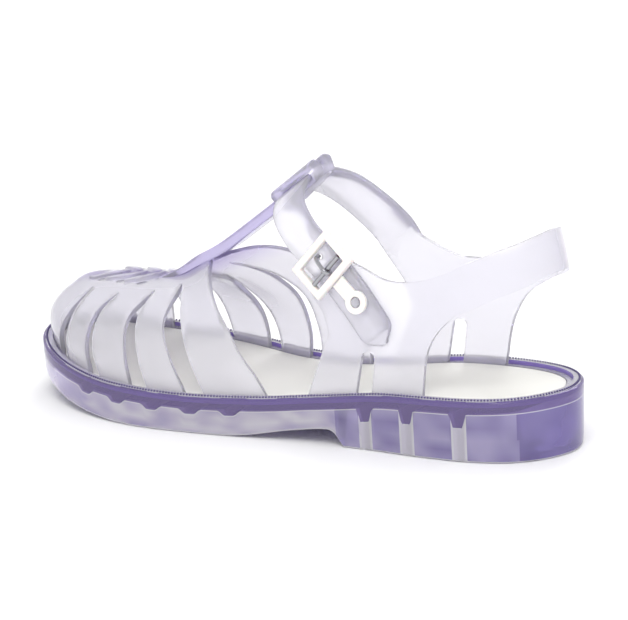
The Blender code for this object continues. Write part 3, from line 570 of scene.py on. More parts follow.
def cageSurface(u, v):
    # Outer face of the toe cage at across u and along v of the flat layout.
    spread = min(math.hypot(u, max(v, 0.0)) / cage["spread"], 1.2)
    side = -1 if u < 0 else 1
    if v > 0:
        fan = cage["fan"] * abs(math.atan2(u, v)) / (math.pi / 2)
        ridge = along(cage["ridgeFront"])
    else:
        fan = cage["fan"] - v
        ridge = along(cage["ridgeFront"]) + cage["ridgeRate"] * v
    foot, normal = footLine.at(footLine.toe - side * fan)
    base = rim(foot.y) - bandHeight / 2 - sole["seat"] + insoleThick
    top = Vector((midline, ridge))
    angle = (1 - min(spread, 1.0)) * math.pi / 2
    run = 1 - math.cos(angle) ** (2 / sectionPower)
    rise = math.sin(angle) ** (2 / sectionPower)
    out = (foot - top).normalized()
    bulge = cage["sideBulge"] + (cage["toeBulge"] - cage["sideBulge"]) * max(0.0, -normal.y) ** 2
    level = (rim(foot.y) + clearance - base) / (crest(ridge) - base)
    above = max(0.0, rise - level) / (1 - level)
    place = foot.lerp(top, run) + out * bulge * math.sin(math.pi * min(above * 1.3, 1))
    drop = max(0.0, spread - 1) * cage["spread"]
    return Vector((place.x, place.y, base + (crest(ridge) - base) * rise - drop))


def legSurface(p, z):
    # Outer face of the quarters at distance p round the heel and height z.
    foot, normal = footLine.at(footLine.heel + p)
    base = rim(foot.y)
    share = max(0.0, (z - base) / (crest(foot.y) - base))
    narrow = max(0.0, 1 - min(share, 0.995) ** sectionPower) ** (1 / sectionPower)
    x = midline + (foot.x - midline) * narrow
    rise = max(0.0, (z - base) / (counterHeight - base))
    swell = value(heelCurve, "swell", rise) * quarter["heelBulge"] * max(0.0, normal.y) ** 2
    return Vector((x, foot.y - swell, z))


def facing(surface, u, v, outward):
    # Unit normal of a surface, turned to the given rough direction.
    h = 0.4 * mm
    du = surface(u + h, v) - surface(u - h, v)
    dv = surface(u, v + h) - surface(u, v - h)
    normal = du.cross(dv).normalized()
    return normal if normal.dot(outward) > 0 else -normal


def inside(point, polygon):
    x, y = point[0], point[1]
    hit = False
    for a, b in zip(polygon, polygon[1:] + polygon[:1]):
        if (a[1] > y) != (b[1] > y) and x < (b[0] - a[0]) * (y - a[1]) / (b[1] - a[1]) + a[0]:
            hit = not hit
    return hit


def clearOf(point, segments, distance):
    for a, b in segments:
        if abs(a.x - point.x) > distance + abs(b.x - a.x):
            continue
        run = b - a
        t = max(0.0, min(1.0, (point - a).dot(run) / max(run.length_squared, 1e-18)))
        if (a + run * t - point).length < distance:
            return False
    return True


def triangulate(shapes, holes, cell, inner=()):
    # Points and triangles of a flat region, with a staggered grid of points inside it.
    loops = [list(loop) for loop in list(shapes) + list(holes) + list(inner)]
    points = []
    edges = []
    segments = []
    for loop in loops:
        start = len(points)
        points.extend(Vector(p) for p in loop)
        ring = list(range(start, len(points)))
        edges.extend(zip(ring, ring[1:] + ring[:1]))
        segments.extend((Vector(a), Vector(b)) for a, b in zip(loop, loop[1:] + loop[:1]))
    xs = [p.x for p in points]
    ys = [p.y for p in points]
    rows = int((max(ys) - min(ys)) / (cell * 0.87)) + 1
    columns = int((max(xs) - min(xs)) / cell) + 2
    for j in range(rows):
        for i in range(columns):
            p = Vector((min(xs) + (i + 0.5 * (j % 2)) * cell, min(ys) + (j + 0.5) * cell * 0.87))
            if not any(inside(p, s) for s in shapes) or any(inside(p, h) for h in holes):
                continue
            if clearOf(p, segments, cell * 0.5):
                points.append(p)
    flat, _, faces, *_ = delaunay_2d_cdt(points, edges, [], 0, 1e-7)
    kept = []
    for face in faces:
        centre = sum((flat[i] for i in face), Vector((0, 0))) / 3
        if any(inside(centre, s) for s in shapes) and not any(inside(centre, h) for h in holes):
            kept.append(tuple(face))
    return flat, kept


def linked(name, data):
    obj = bpy.data.objects.new(name, data)
    bpy.context.collection.objects.link(obj)
    return obj


def meshFrom(name, bm):
    mesh = bpy.data.meshes.new(name)
    bm.to_mesh(mesh)
    bm.free()
    return mesh


def applyModifiers(obj):
    graph = bpy.context.evaluated_depsgraph_get()
    mesh = bpy.data.meshes.new_from_object(obj.evaluated_get(graph))
    obj.modifiers.clear()
    obj.data = mesh


def newObject(name, bm):
    bmesh.ops.delete(bm, geom=[v for v in bm.verts if not v.link_faces], context="VERTS")
    bmesh.ops.recalc_face_normals(bm, faces=bm.faces)
    mesh = meshFrom(name, bm)
    if sum(f.center.dot(f.normal) * f.area for f in mesh.polygons) < 0:
        mesh.flip_normals()
    return linked(name, mesh)


def sheet(name, shapes, holes, surface, outward, thickness, cell, leaves=()):
    # Closed wall over a flat layout, with its outer face on the surface.
    inner = [loop for pair in leaves for loop in pair]
    flat, faces = triangulate(shapes, holes, cell, inner)
    bm = bmesh.new()
    outer = []
    under = []
    for p in flat:
        place = surface(p.x, p.y)
        normal = facing(surface, p.x, p.y, outward(place))
        raised = any(inside(p, loop) or onLoop(p, loop) for _, loop in leaves)
        outer.append(bm.verts.new(place + normal * (cage["plaitRaise"] if raised else 0.0)))
        under.append(bm.verts.new(place - normal * thickness))
    counts = {}
    for face in faces:
        bm.faces.new([outer[i] for i in face])
        bm.faces.new([under[i] for i in reversed(face)])
        for a, b in zip(face, face[1:] + face[:1]):
            counts[(a, b)] = counts.get((a, b), 0) + 1
    for a, b in counts:
        if (b, a) not in counts:
            bm.faces.new((outer[b], outer[a], under[a], under[b]))
    return newObject(name, bm)


def onLoop(point, loop):
    return min((Vector(q) - point).length for q in loop) < 0.01 * mm


def ringLevels(bm, rings):
    return [[bm.verts.new((p.x, p.y, height(p.y))) for p in points] for points, height in rings]


def stack(name, rings, cell):
    # Closed solid through matching rings of (points, height), capped at both ends.
    bm = bmesh.new()
    levels = ringLevels(bm, rings)
    for upper, lower in zip(levels, levels[1:]):
        for i, _ in enumerate(upper):
            j = (i + 1) % len(upper)
            bm.faces.new((upper[i], upper[j], lower[j], lower[i]))
    for level, (points, height) in ((levels[0], rings[0]), (levels[-1], rings[-1])):
        flat, faces = triangulate([points], [], cell)
        verts = list(level)
        for p in flat[len(points):]:
            verts.append(bm.verts.new((p.x, p.y, height(p.y))))
        for face in faces:
            bm.faces.new([verts[i] for i in face])
    return newObject(name, bm)


def band(name, rings):
    # Closed ring-shaped solid through rings of (points, height).
    bm = bmesh.new()
    levels = ringLevels(bm, rings)
    for one, two in zip(levels, levels[1:] + levels[:1]):
        for i, _ in enumerate(one):
            j = (i + 1) % len(one)
            bm.faces.new((one[i], one[j], two[j], two[i]))
    return newObject(name, bm)


def combine(body, tool, operation):
    # Boolean of two solids. The tool is used up.
    modifier = body.modifiers.new(operation.lower(), "BOOLEAN")
    modifier.operation = operation
    modifier.solver = "EXACT"
    modifier.object = tool
    applyModifiers(body)
    bpy.data.objects.remove(tool)


def tidy(obj, distance=0.02 * mm):
    # Merges the slivers that a Boolean leaves.
    bm = bmesh.new()
    bm.from_mesh(obj.data)
    bmesh.ops.remove_doubles(bm, verts=bm.verts, dist=distance)
    bmesh.ops.dissolve_degenerate(bm, edges=bm.edges, dist=distance)
    bmesh.ops.triangulate(bm, faces=[f for f in bm.faces if len(f.verts) > 4])
    bm.to_mesh(obj.data)
    bm.free()


def clip(points, low, high):
    # The part of a sole ring between two levels of y.
    result = []
    for a, b in zip(points, points[1:] + points[:1]):
        if low <= a.y <= high:
            result.append(a)
        for level in (low, high):
            if (a.y - level) * (b.y - level) < 0:
                result.append(a.lerp(b, (level - a.y) / (b.y - a.y)))
    return result


def slabUnder(y):
    return rim(y) - sole["seat"] - sole["slab"]


def pocket(low, high, distance, levels, spacing=3 * mm):
    # Cutter that hollows the sole from below between two levels of y.
    # Each level is a height and how far the two end walls have closed in there.
    points = [inset(distance)[i] for i in ringPicks(spacing)]
    outline = clip(points, low, high)
    middle = (low + high) / 2
    rings = []
    for height, draft in levels:
        narrow = 1 - 2 * draft / (high - low)
        rings.append(([Vector((p.x, middle + (p.y - middle) * narrow)) for p in outline], height))
    return stack("pocket", rings, 14 * mm)


def hollowSole(body):
    # Forefoot hollow with its cross teeth, and the heel's wells between their webs.
    breast = along(sole["breast"])
    toe = along(sole["toeWall"])
    first = along(sole["firstTooth"])

    def toothTip(y):
        return slabUnder(y) - sole["toothDrop"]

    def heelToothTip(y):
        return slabUnder(y) - sole["fingerDrop"]

    def floor(y):
        return -sole["slab"]

    combine(body, pocket(breast, toe, sole["wall"], [(toothTip, 0), (floor, 0)]), "DIFFERENCE")
    middles = [first + i * sole["toothPitch"] for i in range(sole["teeth"])]
    edges = [breast] + middles + [toe + sole["toothWidth"] / 2]
    for low, high in zip(edges, edges[1:]):
        start = low + (sole["toothWidth"] / 2 - sole["toothSlope"] if low > breast else sole["edgeRound"])
        stop = high - sole["toothWidth"] / 2 + (sole["toothSlope"] if high < toe else 0)
        levels = [(slabUnder, sole["toothSlope"]), (toothTip, 0), (floor, 0)]
        combine(body, pocket(start, stop, sole["wall"] + sole["edgeRound"] / 2, levels), "DIFFERENCE")

    for row, after in zip(heelWebs, heelWebs[1:]):
        low = along(row["station"]) + row["thick"] * sole["web"] / 2
        high = along(after["station"]) - after["thick"] * sole["web"] / 2
        levels = [(slabUnder, sole["draft"]), (heelToothTip, sole["draft"] / 3), (floor, 0)]
        combine(body, pocket(low, high, sole["wall"], levels), "DIFFERENCE")


def gapOutline(row):
    # Outline of one opening of the cage in the flat layout.
    side = row["side"]
    shares = (row["foot"], row["low"], row["mid"])
    widths = (row["footWidth"], row["lowWidth"], row["midWidth"])
    tip = (side * row["tipAcross"] * cage["spread"], row["tip"] * shoeLength)
    front = []
    rear = []
    for across, share, width in zip(gapAcross, shares, widths):
        front.append((side * across * cage["spread"], (share + width / 2) * shoeLength))
        rear.append((side * across * cage["spread"], (share - width / 2) * shoeLength))
    loop = curve(front + [tip], 1.8 * mm)
    return loop + list(reversed(curve(rear + [tip], 1.8 * mm)))[1:]


def lens(middle, run, length, width, sides):
    # Pointed oval in the flat layout.
    across = Vector((-run.y, run.x))
    loop = []
    for i in range(sides):
        angle = 2 * math.pi * i / sides
        fat = math.sin(angle) * abs(math.sin(angle)) ** 0.3
        loop.append(middle + run * (length / 2 * math.cos(angle)) + across * (width / 2 * fat))
    return loop


def leafLine(row):
    # Middle and direction of one leaf of the plait.
    run = Vector((-row["side"] * cage["leafAcross"], -cage["leafAlong"]))
    start = Vector((row["side"] * (cage["leafAcross"] - 0.5 * mm), row["front"] * shoeLength))
    return start + run / 2, run.normalized()


def leafOutlines(row):
    # Foot and top of one raised leaf.
    middle, run = leafLine(row)
    length = math.hypot(cage["leafAcross"], cage["leafAlong"])
    return (
        lens(middle, run, length, cage["leafWidth"], 36),
        lens(middle, run, length - 5 * cage["plaitStep"], cage["leafWidth"] - 2 * cage["plaitStep"], 36),
    )


def plaitSlit(row):
    # Slit behind a leaf of the plait, on its own side of the ridge.
    _, run = leafLine(row)
    back = row["front"] * shoeLength - 0.91 * cage["leafPitch"]
    place = Vector((row["side"] * 0.86 * cage["leafAcross"], back))
    return lens(place, run, cage["slitLength"], cage["slitWidth"], 20)


def makeCage():
    # Toe cage: strips from both sides of the rim, meeting in a plait along the ridge.
    front = cage["spread"]
    steps = 90
    arc = []
    for i in range(steps + 1):
        angle = math.pi * i / steps
        arc.append(Vector((front * math.cos(angle), front * math.sin(angle))))
    outer = [Vector((-row["across"] * cage["spread"], row["along"] * shoeLength)) for row in cageRearOuter]
    inner = [Vector((row["across"] * cage["spread"], row["along"] * shoeLength)) for row in cageRearInner]
    outer[0].x = -front
    inner[0].x = front
    sideOut = [arc[-1].lerp(outer[0], k / 40) for k in range(1, 40)]
    sideIn = [inner[0].lerp(arc[0], k / 40) for k in range(1, 40)]
    shape = arc + sideOut + curve(outer, 1.8 * mm) + list(reversed(curve(inner, 1.8 * mm))) + sideIn
    holes = [gapOutline(row) for row in gapRows] + [plaitSlit(row) for row in leafRows]
    leaves = [leafOutlines(row) for row in leafRows]
    middle = Vector((midline, 0, 0))
    return sheet("cage", [shape], holes, cageSurface, lambda q: q - middle, wallThick, cellSize, leaves)


def edgePoints(rows, side):
    # Flat layout points of an edge of the quarters.
    points = []
    for row in rows:
        p = footLine.fromHeel(side, along(row["station"])) if row["station"] else 0.0
        points.append(Vector((p, max(row["height"] * counterHeight, footHeight(p)))))
    return points


def footHeight(p):
    return rim(footLine.at(footLine.heel + p)[0].y) - sole["seat"] + insoleThick - bandHeight / 2


def footRun(start, end):
    count = 24
    steps = [start + (end - start) * i / count for i in range(count + 1)]
    return [Vector((p, footHeight(p))) for p in steps]


def makeQuarters():
    # Both quarters, the heel band between them and the tab under the buckle.
    top = curve(edgePoints(topOuter, -1)[:-1] + edgePoints(topInner, 1), curveStep)
    frontIn = curve(edgePoints(frontInner, 1), curveStep)
    rear = curve(edgePoints(rearInner, 1)[:-1] + edgePoints(rearOuter, -1), curveStep)
    frontOut = curve(edgePoints(frontOuter, -1), curveStep)
    footIn = footRun(frontIn[-1].x, rear[0].x)
    footOut = footRun(rear[-1].x, frontOut[0].x)
    shape = top + frontIn + footIn + rear + footOut + frontOut
    holes = []
    for row in slitRows:
        p = footLine.fromHeel(row["side"], along(row["station"]))
        low = footHeight(p) - toolRoom
        high = rim(footLine.at(footLine.heel + p)[0].y) + quarter["slitHeight"]
        half = quarter["slitWidth"] / 2
        lean = p - row["side"] * quarter["slitLean"]
        holes.append([
            Vector((p - half, low)),
            Vector((p + half, low)),
            *[Vector((lean + half * 0.8 * math.cos(a), high - half * 0.55 + half * 0.55 * math.sin(a)))
              for a in (math.pi * k / 14 for k in range(15))],
        ])
    axis = Vector((midline, along(quarter["heelCentre"]), 0))

    def outward(q):
        return Vector((q.x - axis.x, min(0.0, q.y - axis.y) * 0.8, 0.0))

    return sheet("quarters", [shape], holes, legSurface, outward, wallThick, cellSize)


def strapFrames(step=strapStep):
    # Places, forward directions and normals along the middle of the ankle strap.
    places = []
    faces = []
    for row in strapLine:
        z = row["height"] * counterHeight
        if row["side"] == 0:
            places.append(Vector((midline, along(row["station"]), z)))
            faces.append(Vector(keeperNormal).normalized())
            continue
        p = footLine.fromHeel(row["side"], along(row["station"]))
        slope = row["slope"] * counterHeight
        normal = facing(legSurface, p, slope, Vector((row["side"], 0, 0.3)))
        places.append(legSurface(p, z) + normal * row["out"] * strap["thick"])
        faces.append(normal)
    both = [Vector((*a, *b)) for a, b in zip(places, [f * 0.02 for f in faces])]
    line = curve(both, step)
    points = [Vector(q[:3]) for q in line]
    frames = []
    for i, q in enumerate(line):
        run = (points[min(i + 1, len(points) - 1)] - points[max(i - 1, 0)]).normalized()
        normal = Vector(q[3:6])
        normal = (normal - run * normal.dot(run)).normalized()
        frames.append((points[i], run, normal))
    return frames


def ribbon(name, frames, width, above, below, corner=0.5 * mm):
    # Closed strip along frames. width, above and below may follow the run from 0 to 1.
    bm = bmesh.new()
    rings = []
    for i, (place, run, normal) in enumerate(frames):
        t = i / (len(frames) - 1)
        across = run.cross(normal)
        w, a, b = width(t) / 2, above(t), below(t)
        c = corner
        profile = ((w, a - c), (w - c, a), (c - w, a), (-w, a - c),
                   (-w, c - b), (c - w, -b), (w - c, -b), (w, c - b))
        rings.append([bm.verts.new(place + across * x + normal * y) for x, y in profile])
    for one, two in zip(rings, rings[1:]):
        for i in range(8):
            j = (i + 1) % 8
            bm.faces.new((one[i], one[j], two[j], two[i]))
    bm.faces.new(rings[0])
    bm.faces.new(list(reversed(rings[-1])))
    return newObject(name, bm)


strapPath = strapFrames()


def buckleFrameAxes():
    # Origin on the last under the buckle, strap direction, across direction and normal.
    p = footLine.fromHeel(-1, along(buckle["station"]))
    z = buckle["height"] * counterHeight
    origin = legSurface(p, z)
    normal = facing(legSurface, p, z, Vector((-1, 0, 0.3)))
    nearest = min(strapPath, key=lambda f: (f[0] - origin).length)
    run = -nearest[1]
    run = (run - normal * run.dot(normal)).normalized()
    return origin, run, normal.cross(run), normal


buckleAxes = buckleFrameAxes()


def placeAtBuckle(a, c, n):
    origin, run, across, normal = buckleAxes
    return origin + run * a + across * c + normal * n


def buckleMatrix():
    origin, run, across, normal = buckleAxes
    return Matrix((
        (run.x, across.x, normal.x, origin.x),
        (run.y, across.y, normal.y, origin.y),
        (run.z, across.z, normal.z, origin.z),
        (0, 0, 0, 1),
    ))


def buckleBox(name, low, high):
    # Box in the buckle's own axes.
    bm = bmesh.new()
    bmesh.ops.create_cube(bm, size=1)
    for v in bm.verts:
        v.co = Vector([(a + b) / 2 + (b - a) * k for a, b, k in zip(low, high, v.co)])
    bmesh.ops.transform(bm, matrix=buckleMatrix(), verts=bm.verts)
    return newObject(name, bm)


def bucklePeg(name, centre, radius, low, high, sides=16):
    # Round peg along the buckle's normal.
    bm = bmesh.new()
    bmesh.ops.create_cone(bm, cap_ends=True, segments=sides, radius1=radius, radius2=radius,
                          depth=high - low)
    middle = Matrix.Translation((centre[0], centre[1], (low + high) / 2))
    bmesh.ops.transform(bm, matrix=buckleMatrix() @ middle, verts=bm.verts)
    return newObject(name, bm)


def linear(hexColour):
    # sRGB hex to linear
    parts = [int(hexColour[i:i + 2], 16) / 255 for i in (1, 3, 5)]
    return tuple(c / 12.92 if c <= 0.04045 else ((c + 0.055) / 1.055) ** 2.4 for c in parts)


def addNode(mat, kind, inputs=None, **settings):
    node = mat.node_tree.nodes.new(kind)
    for key, setting in settings.items():
        setattr(node, key, setting)
    for key, setting in (inputs or {}).items():
        if isinstance(setting, bpy.types.NodeSocket):
            mat.node_tree.links.new(setting, node.inputs[key])
        else:
            node.inputs[key].default_value = setting
    return node


def newMaterial(name, colour, roughness, **inputs):
    mat = bpy.data.materials.new(name)
    mat.use_nodes = True
    shader = mat.node_tree.nodes["Principled BSDF"]
    shader.inputs["Base Color"].default_value = (*linear(colour), 1)
    shader.inputs["Roughness"].default_value = roughness
    for key, setting in inputs.items():
        shader.inputs[key.replace("_", " ")].default_value = setting
    return mat


def absorb(mat, colour, density):
    # Tint that grows with the thickness
    volume = addNode(mat, "ShaderNodeVolumeAbsorption", {"Color": (*linear(colour), 1), "Density": density})
    output = mat.node_tree.nodes["Material Output"]
    mat.node_tree.links.new(volume.outputs["Volume"], output.inputs["Volume"])


def tintFromMesh(mat):
    # Base colour from the colours painted on the mesh
    tint = addNode(mat, "ShaderNodeAttribute", attribute_name="tint")
    shader = mat.node_tree.nodes["Principled BSDF"]
    mat.node_tree.links.new(tint.outputs["Color"], shader.inputs["Base Color"])


# Frosted clear PVC of the straps
strapPvc = newMaterial("frosted clear PVC", "#FDFDFF", 0.14, Transmission_Weight=0.72, IOR=1.42)
absorb(strapPvc, "#8460D2", 62)
tintFromMesh(strapPvc)
# Glossy violet clear PVC of the sole, tinted where it is thick
solePvc = newMaterial("violet clear PVC", "#FFFFFF", 0.07, Transmission_Weight=0.62, IOR=1.42)
absorb(solePvc, "#9A78DC", 26)
tintFromMesh(solePvc)
# The seat's wall, where the whole thickness of the slab shows
deepPvc = newMaterial("deep violet PVC", "#8B78C4", 0.3)
# Dark violet of the knurl's dots: the PVC's own violet, darkened as painted shade of the knurl's grooves
knurlShadePvc = newMaterial("violet knurl PVC with painted groove shade", "#4A3E70", 0.3)
# White cloth-faced foam of the insole
insoleFoam = newMaterial("white insole foam", "#EAE9E3", 0.6)
# Milky moulded plastic of the buckle
milkPlastic = newMaterial("milky buckle plastic", "#F1ECE8", 0.2,
                          Subsurface_Weight=0.25, Subsurface_Scale=2 * mm)
# Polished steel of the rod and prong
steel = newMaterial("polished steel", "#A9A9AE", 0.14, Metallic=1.0)
# White floor
floorPaint = newMaterial("white floor", "#FFFFFF", 0.7)


def finish(obj, mat, angle=50):
    obj.data.materials.clear()
    obj.data.materials.append(mat)
    obj.data.shade_smooth()
    obj.data.set_sharp_from_angle(angle=math.radians(angle))
    return obj


def bevel(obj, width, segments, angle=50):
    modifier = obj.modifiers.new("round", "BEVEL")
    modifier.width = width
    modifier.segments = segments
    modifier.limit_method = "ANGLE"
    modifier.angle_limit = math.radians(angle)
    applyModifiers(obj)
    return obj


# The line tint is a painted highlight, for the white lines under the violet band and along the ground; it
# also colours the white lines beside each web.
soleTints = {
    "bead": "#FAF8FD", "band": "#8F7EB6", "line": "#FFFFFF", "wall": "#FAF7FD", "streak": "#C9C0E2",
    "heel": "#CCC4E8", "mottle": "#9F95C8", "web": "#F4F0FB", "back": "#8F82BC", "inside": "#EDE9F6",
    "slab": "#A294D4",
}
solePaint = {
    "rimDrop": 1.4 * mm,  # how far down from its top the rim is painted
    "beadEdge": 1.3 * mm,  # from the sole's edge
    "line": 0.4 * mm,  # painted highlight: white line under the violet band
    "footLine": 0.75 * mm,  # painted highlight: white line along the ground
    "ribLine": (2.4 * mm, 3.1 * mm),  # white lines beside each web
    "web": 2.6 * mm,
    "scallop": (4.6 * mm, 2.4 * mm),  # reach to the side of a tooth and run-out
    "finger": (3.4 * mm, 1.4 * mm),  # the same at a web
    "cloud": (90, 90, 260),  # waves of the mottle per metre
    "cloudLevel": 0.4,
    "cloudSwing": 1.1,
}


def clamp(value):
    return max(0.0, min(1.0, value))


def nearest(y, places):
    return min(abs(y - place) for place in places)


def bandEdge(y):
    # Lower edge of the violet band, with a scallop at each tooth and a finger at each web
    teeth = nearest(y, [along(sole["firstTooth"]) + i * sole["toothPitch"] for i in range(sole["teeth"])])
    webs = nearest(y, [along(row["station"]) for row in heelWebs[1:-1]])
    scallop = sole["toothDrop"] * clamp((solePaint["scallop"][0] - teeth) / solePaint["scallop"][1])
    finger = sole["fingerDrop"] * clamp((solePaint["finger"][0] - webs) / solePaint["finger"][1])
    return slabUnder(y) - max(scallop, finger)


def paintSole(body):
    # Colour by the thickness that shows at each place, with white lines painted as highlights under the
    # violet band and along the ground
    tree = KDTree(len(soleEdge))
    for i, p in enumerate(soleEdge):
        tree.insert((p.x, p.y, 0), i)
    tree.balance()
    body.data.materials.clear()
    body.data.materials.append(solePvc)
    body.data.materials.append(deepPvc)
    colours = {name: (*linear(code), 1) for name, code in soleTints.items()}
    tints = body.data.color_attributes.new("tint", "FLOAT_COLOR", "CORNER")
    breast = along(sole["breast"])
    back = along(heelWebs[0]["station"])
    webs = [along(row["station"]) for row in heelWebs[1:-1]]

    def ribSide(y):
        near, far = solePaint["ribLine"]
        return back < y < breast and near < nearest(y, webs) < far

    for face in body.data.polygons:
        x, y, z = face.center
        depth = tree.find((x, y, 0))[2]
        edge = bandEdge(y)
        if z > rim(y) - solePaint["rimDrop"] and depth < sole["rimWidth"] - 0.1 * mm:
            zone = "bead" if depth > solePaint["beadEdge"] else "band"
        elif z > rim(y) - sole["seat"] - 0.05 * mm and depth > sole["rimWidth"] - 0.2 * mm:
            zone = "slab"
            face.material_index = 1
        elif z > slabUnder(y) - 0.1 * mm and depth > sole["wall"] - 0.2 * mm:
            zone = "slab"
        elif depth > sole["wall"] - 0.2 * mm and z > ground(y) + 0.3 * mm:
            zone = "inside"
        elif z > edge:
            zone = "band"
        # Painted highlight: white lines under the band and along the ground, and the white lines beside each
        # web
        elif z > edge - solePaint["line"] or z < ground(y) + solePaint["footLine"] or ribSide(y):
            zone = "line"
        elif y > breast:
            zone = "wall"
        elif y < back:
            zone = "back"
        else:
            zone = "web" if nearest(y, webs) < solePaint["web"] else "heel"
        other = {"wall": "streak", "heel": "mottle", "back": "mottle"}.get(zone)
        for loop in face.loop_indices:
            colour = Vector(colours[zone])
            if other:
                place = body.data.vertices[body.data.loops[loop].vertex_index].co
                cloud = noise.noise(Vector([c * waves for c, waves in zip(place, solePaint["cloud"])]))
                toeward = max(0.0, (place.y - along(0.7)) / (80 * mm))
                amount = clamp(solePaint["cloudLevel"] + solePaint["cloudSwing"] * cloud + toeward)
                colour = colour.lerp(Vector(colours[other]), amount)
            tints.data[loop].color = colour


def makeOutsole():
    picks = ringPicks(0.6 * mm)

    def ring(distance):
        points = inset(distance)
        return [points[i] for i in picks]

    def below(drop):
        return lambda y: rim(y) - drop * mm

    def above(lift):
        return lambda y: ground(y) + lift * mm

    def between(share):
        return lambda y: (1 - share) * bandEdge(y) + share * ground(y)

    profile = (
        (2.6, below(0)), (2.0, below(0.05)), (1.55, below(0.2)), (1.4, below(0.5)), (1.0, below(0.62)),
        (0.5, below(0.75)), (0.15, below(1.0)), (0.0, below(1.5)), (0.05, bandEdge),
        # Ring for the painted highlight line under the violet band
        (0.08, lambda y: bandEdge(y) - solePaint["line"]), (0.25, between(0.28)), (0.4, between(0.54)),
        (0.55, between(0.76)), (0.75, above(1.2)),
        (0.85, above(0.7)), (1.05, above(0.25)), (1.6, above(0)),
    )
    body = stack("soleLook", [(ring(distance * mm), height) for distance, height in profile], 8 * mm)
    seat = [inset(sole["rimWidth"])[i] for i in picks]
    combine(body, stack("seat", [(seat, below(-5)), (seat, below(sole["seat"] / mm))], 8 * mm), "DIFFERENCE")
    hollowSole(body)
    tidy(body, 0.005 * mm)
    paintSole(body)
    body.data.shade_smooth()
    body.data.set_sharp_from_angle(angle=math.radians(50))
    return body


def makeInsole():
    points = inset(sole["rimWidth"] + clearance + bandWidth + clearance)
    outline = [points[i] for i in ringPicks(3 * mm)]
    body = stack("insoleLook", [
        (outline, lambda y: rim(y) - sole["seat"] + clearance + insoleThick),
        (outline, lambda y: rim(y) - sole["seat"] + clearance),
    ], 8 * mm)
    bevel(body, 0.4 * mm, 2)
    return finish(body, insoleFoam)


ridgePaint = {
    "colour": "#CFC4EC",
    "across": 9 * mm,  # fades out to each side
    "start": 0.44,  # share of the length
    "ahead": 24 * mm,  # run-in toward the toe
    "low": 30 * mm,
    "rise": 8 * mm,
}


def paintRidge(body):
    # Violet along the plait and the T-bar, where the plastic is thickest
    clear = Vector((1, 1, 1, 1))
    violet = Vector((*linear(ridgePaint["colour"]), 1))
    tints = body.data.color_attributes.new("tint", "FLOAT_COLOR", "CORNER")
    for loop in body.data.loops:
        place = body.data.vertices[loop.vertex_index].co
        across = clamp(1 - abs(place.x - midline) / ridgePaint["across"])
        ahead = clamp((place.y - along(ridgePaint["start"])) / ridgePaint["ahead"])
        raised = clamp((place.z - ridgePaint["low"]) / ridgePaint["rise"])
        tints.data[loop.index].color = clear.lerp(violet, across * ahead * raised)


def smooth(t):
    t = min(1.0, t)
    return t * t * (3 - 2 * t)


def makeFeather():
    # Band along the foot of the upper, moulded into the rim
    picks = ringPicks(2.4 * mm)
    ring = inset(sole["rimWidth"] + clearance)
    outer = [ring[i] for i in picks]
    ring = inset(sole["rimWidth"] + clearance + bandWidth)
    under = [ring[i] for i in picks]

    def low(y):
        return rim(y) - sole["seat"] + clearance

    def high(y):
        return low(y) + bandHeight

    return band("upperLook", [(outer, high), (under, high), (under, low), (outer, low)])


def makeBar():
    # T-bar from the plait to the keeper
    barTop = [Vector((midline, along(r["station"]), r["height"] * instepHeight)) for r in barLine]
    over = next(row for row in strapLine if row["side"] == 0)
    barTop.append(Vector((
        midline,
        along(over["station"]) + barEnd[0] * keeper["length"],
        over["height"] * counterHeight + barEnd[1] * keeper["length"],
    )))
    line = curve(barTop, 2 * mm)
    frames = []
    for i, q in enumerate(line):
        run = (line[min(i + 1, len(line) - 1)] - line[max(i - 1, 0)]).normalized()
        normal = Vector((1, 0, 0)).cross(run)
        frames.append((q, run, normal if normal.z > 0 else -normal))

    def below(t):
        return bar["tip"] + (bar["thick"] - bar["tip"]) * smooth(t / bar["root"])

    def span(t):
        return bar["width"] * (1 + bar["spread"] * max(0.0, 1 - t / bar["root"]) ** 2)

    return bevel(ribbon("bar", frames, span, lambda t: 0.0, below, bar["tip"] / 2), 0.3 * mm, 2, 30)


def strapMiddle():
    # Index of the strap's place over the ridge
    def away(i):
        place = strapPath[i][0]
        return abs(place.x - midline) + (0 if place.z > counterHeight else 1)

    return min(range(len(strapPath)), key=away)


def makeKeeper():
    # Keeper with its two rolls, joined to the T-bar, with the strap's channel through it
    middle = strapMiddle()
    reach = round(keeper["reach"] / strapStep)
    span = []
    for i, (place, run, normal) in enumerate(strapPath[middle - reach:middle + reach + 1]):
        skew = keeper["skew"] * smooth(i / (2 * reach))
        span.append((place + run.cross(normal) * skew, run, normal))
    channel = strapPath[middle - reach - 3:middle + reach + 4]
    half = strap["thick"] / 2 + clearance

    def lobe(t):
        return abs(math.sin(2 * math.pi * t)) ** 0.6

    def width(t):
        return keeper["length"] + 2 * keeper["lobe"] * (lobe(t) - 0.5)

    def above(t):
        return half + keeper["wall"] * 0.7 + keeper["lobe"] * lobe(t)

    body = ribbon("keeper", span, width, above, lambda t: half + keeper["wall"], 1.2 * mm)
    bevel(body, 0.4 * mm, 2, 40)
    combine(body, makeBar(), "UNION")
    combine(body, ribbon("channel", channel, lambda t: strap["width"] + 2 * clearance,
                         lambda t: half, lambda t: half), "DIFFERENCE")
    return body


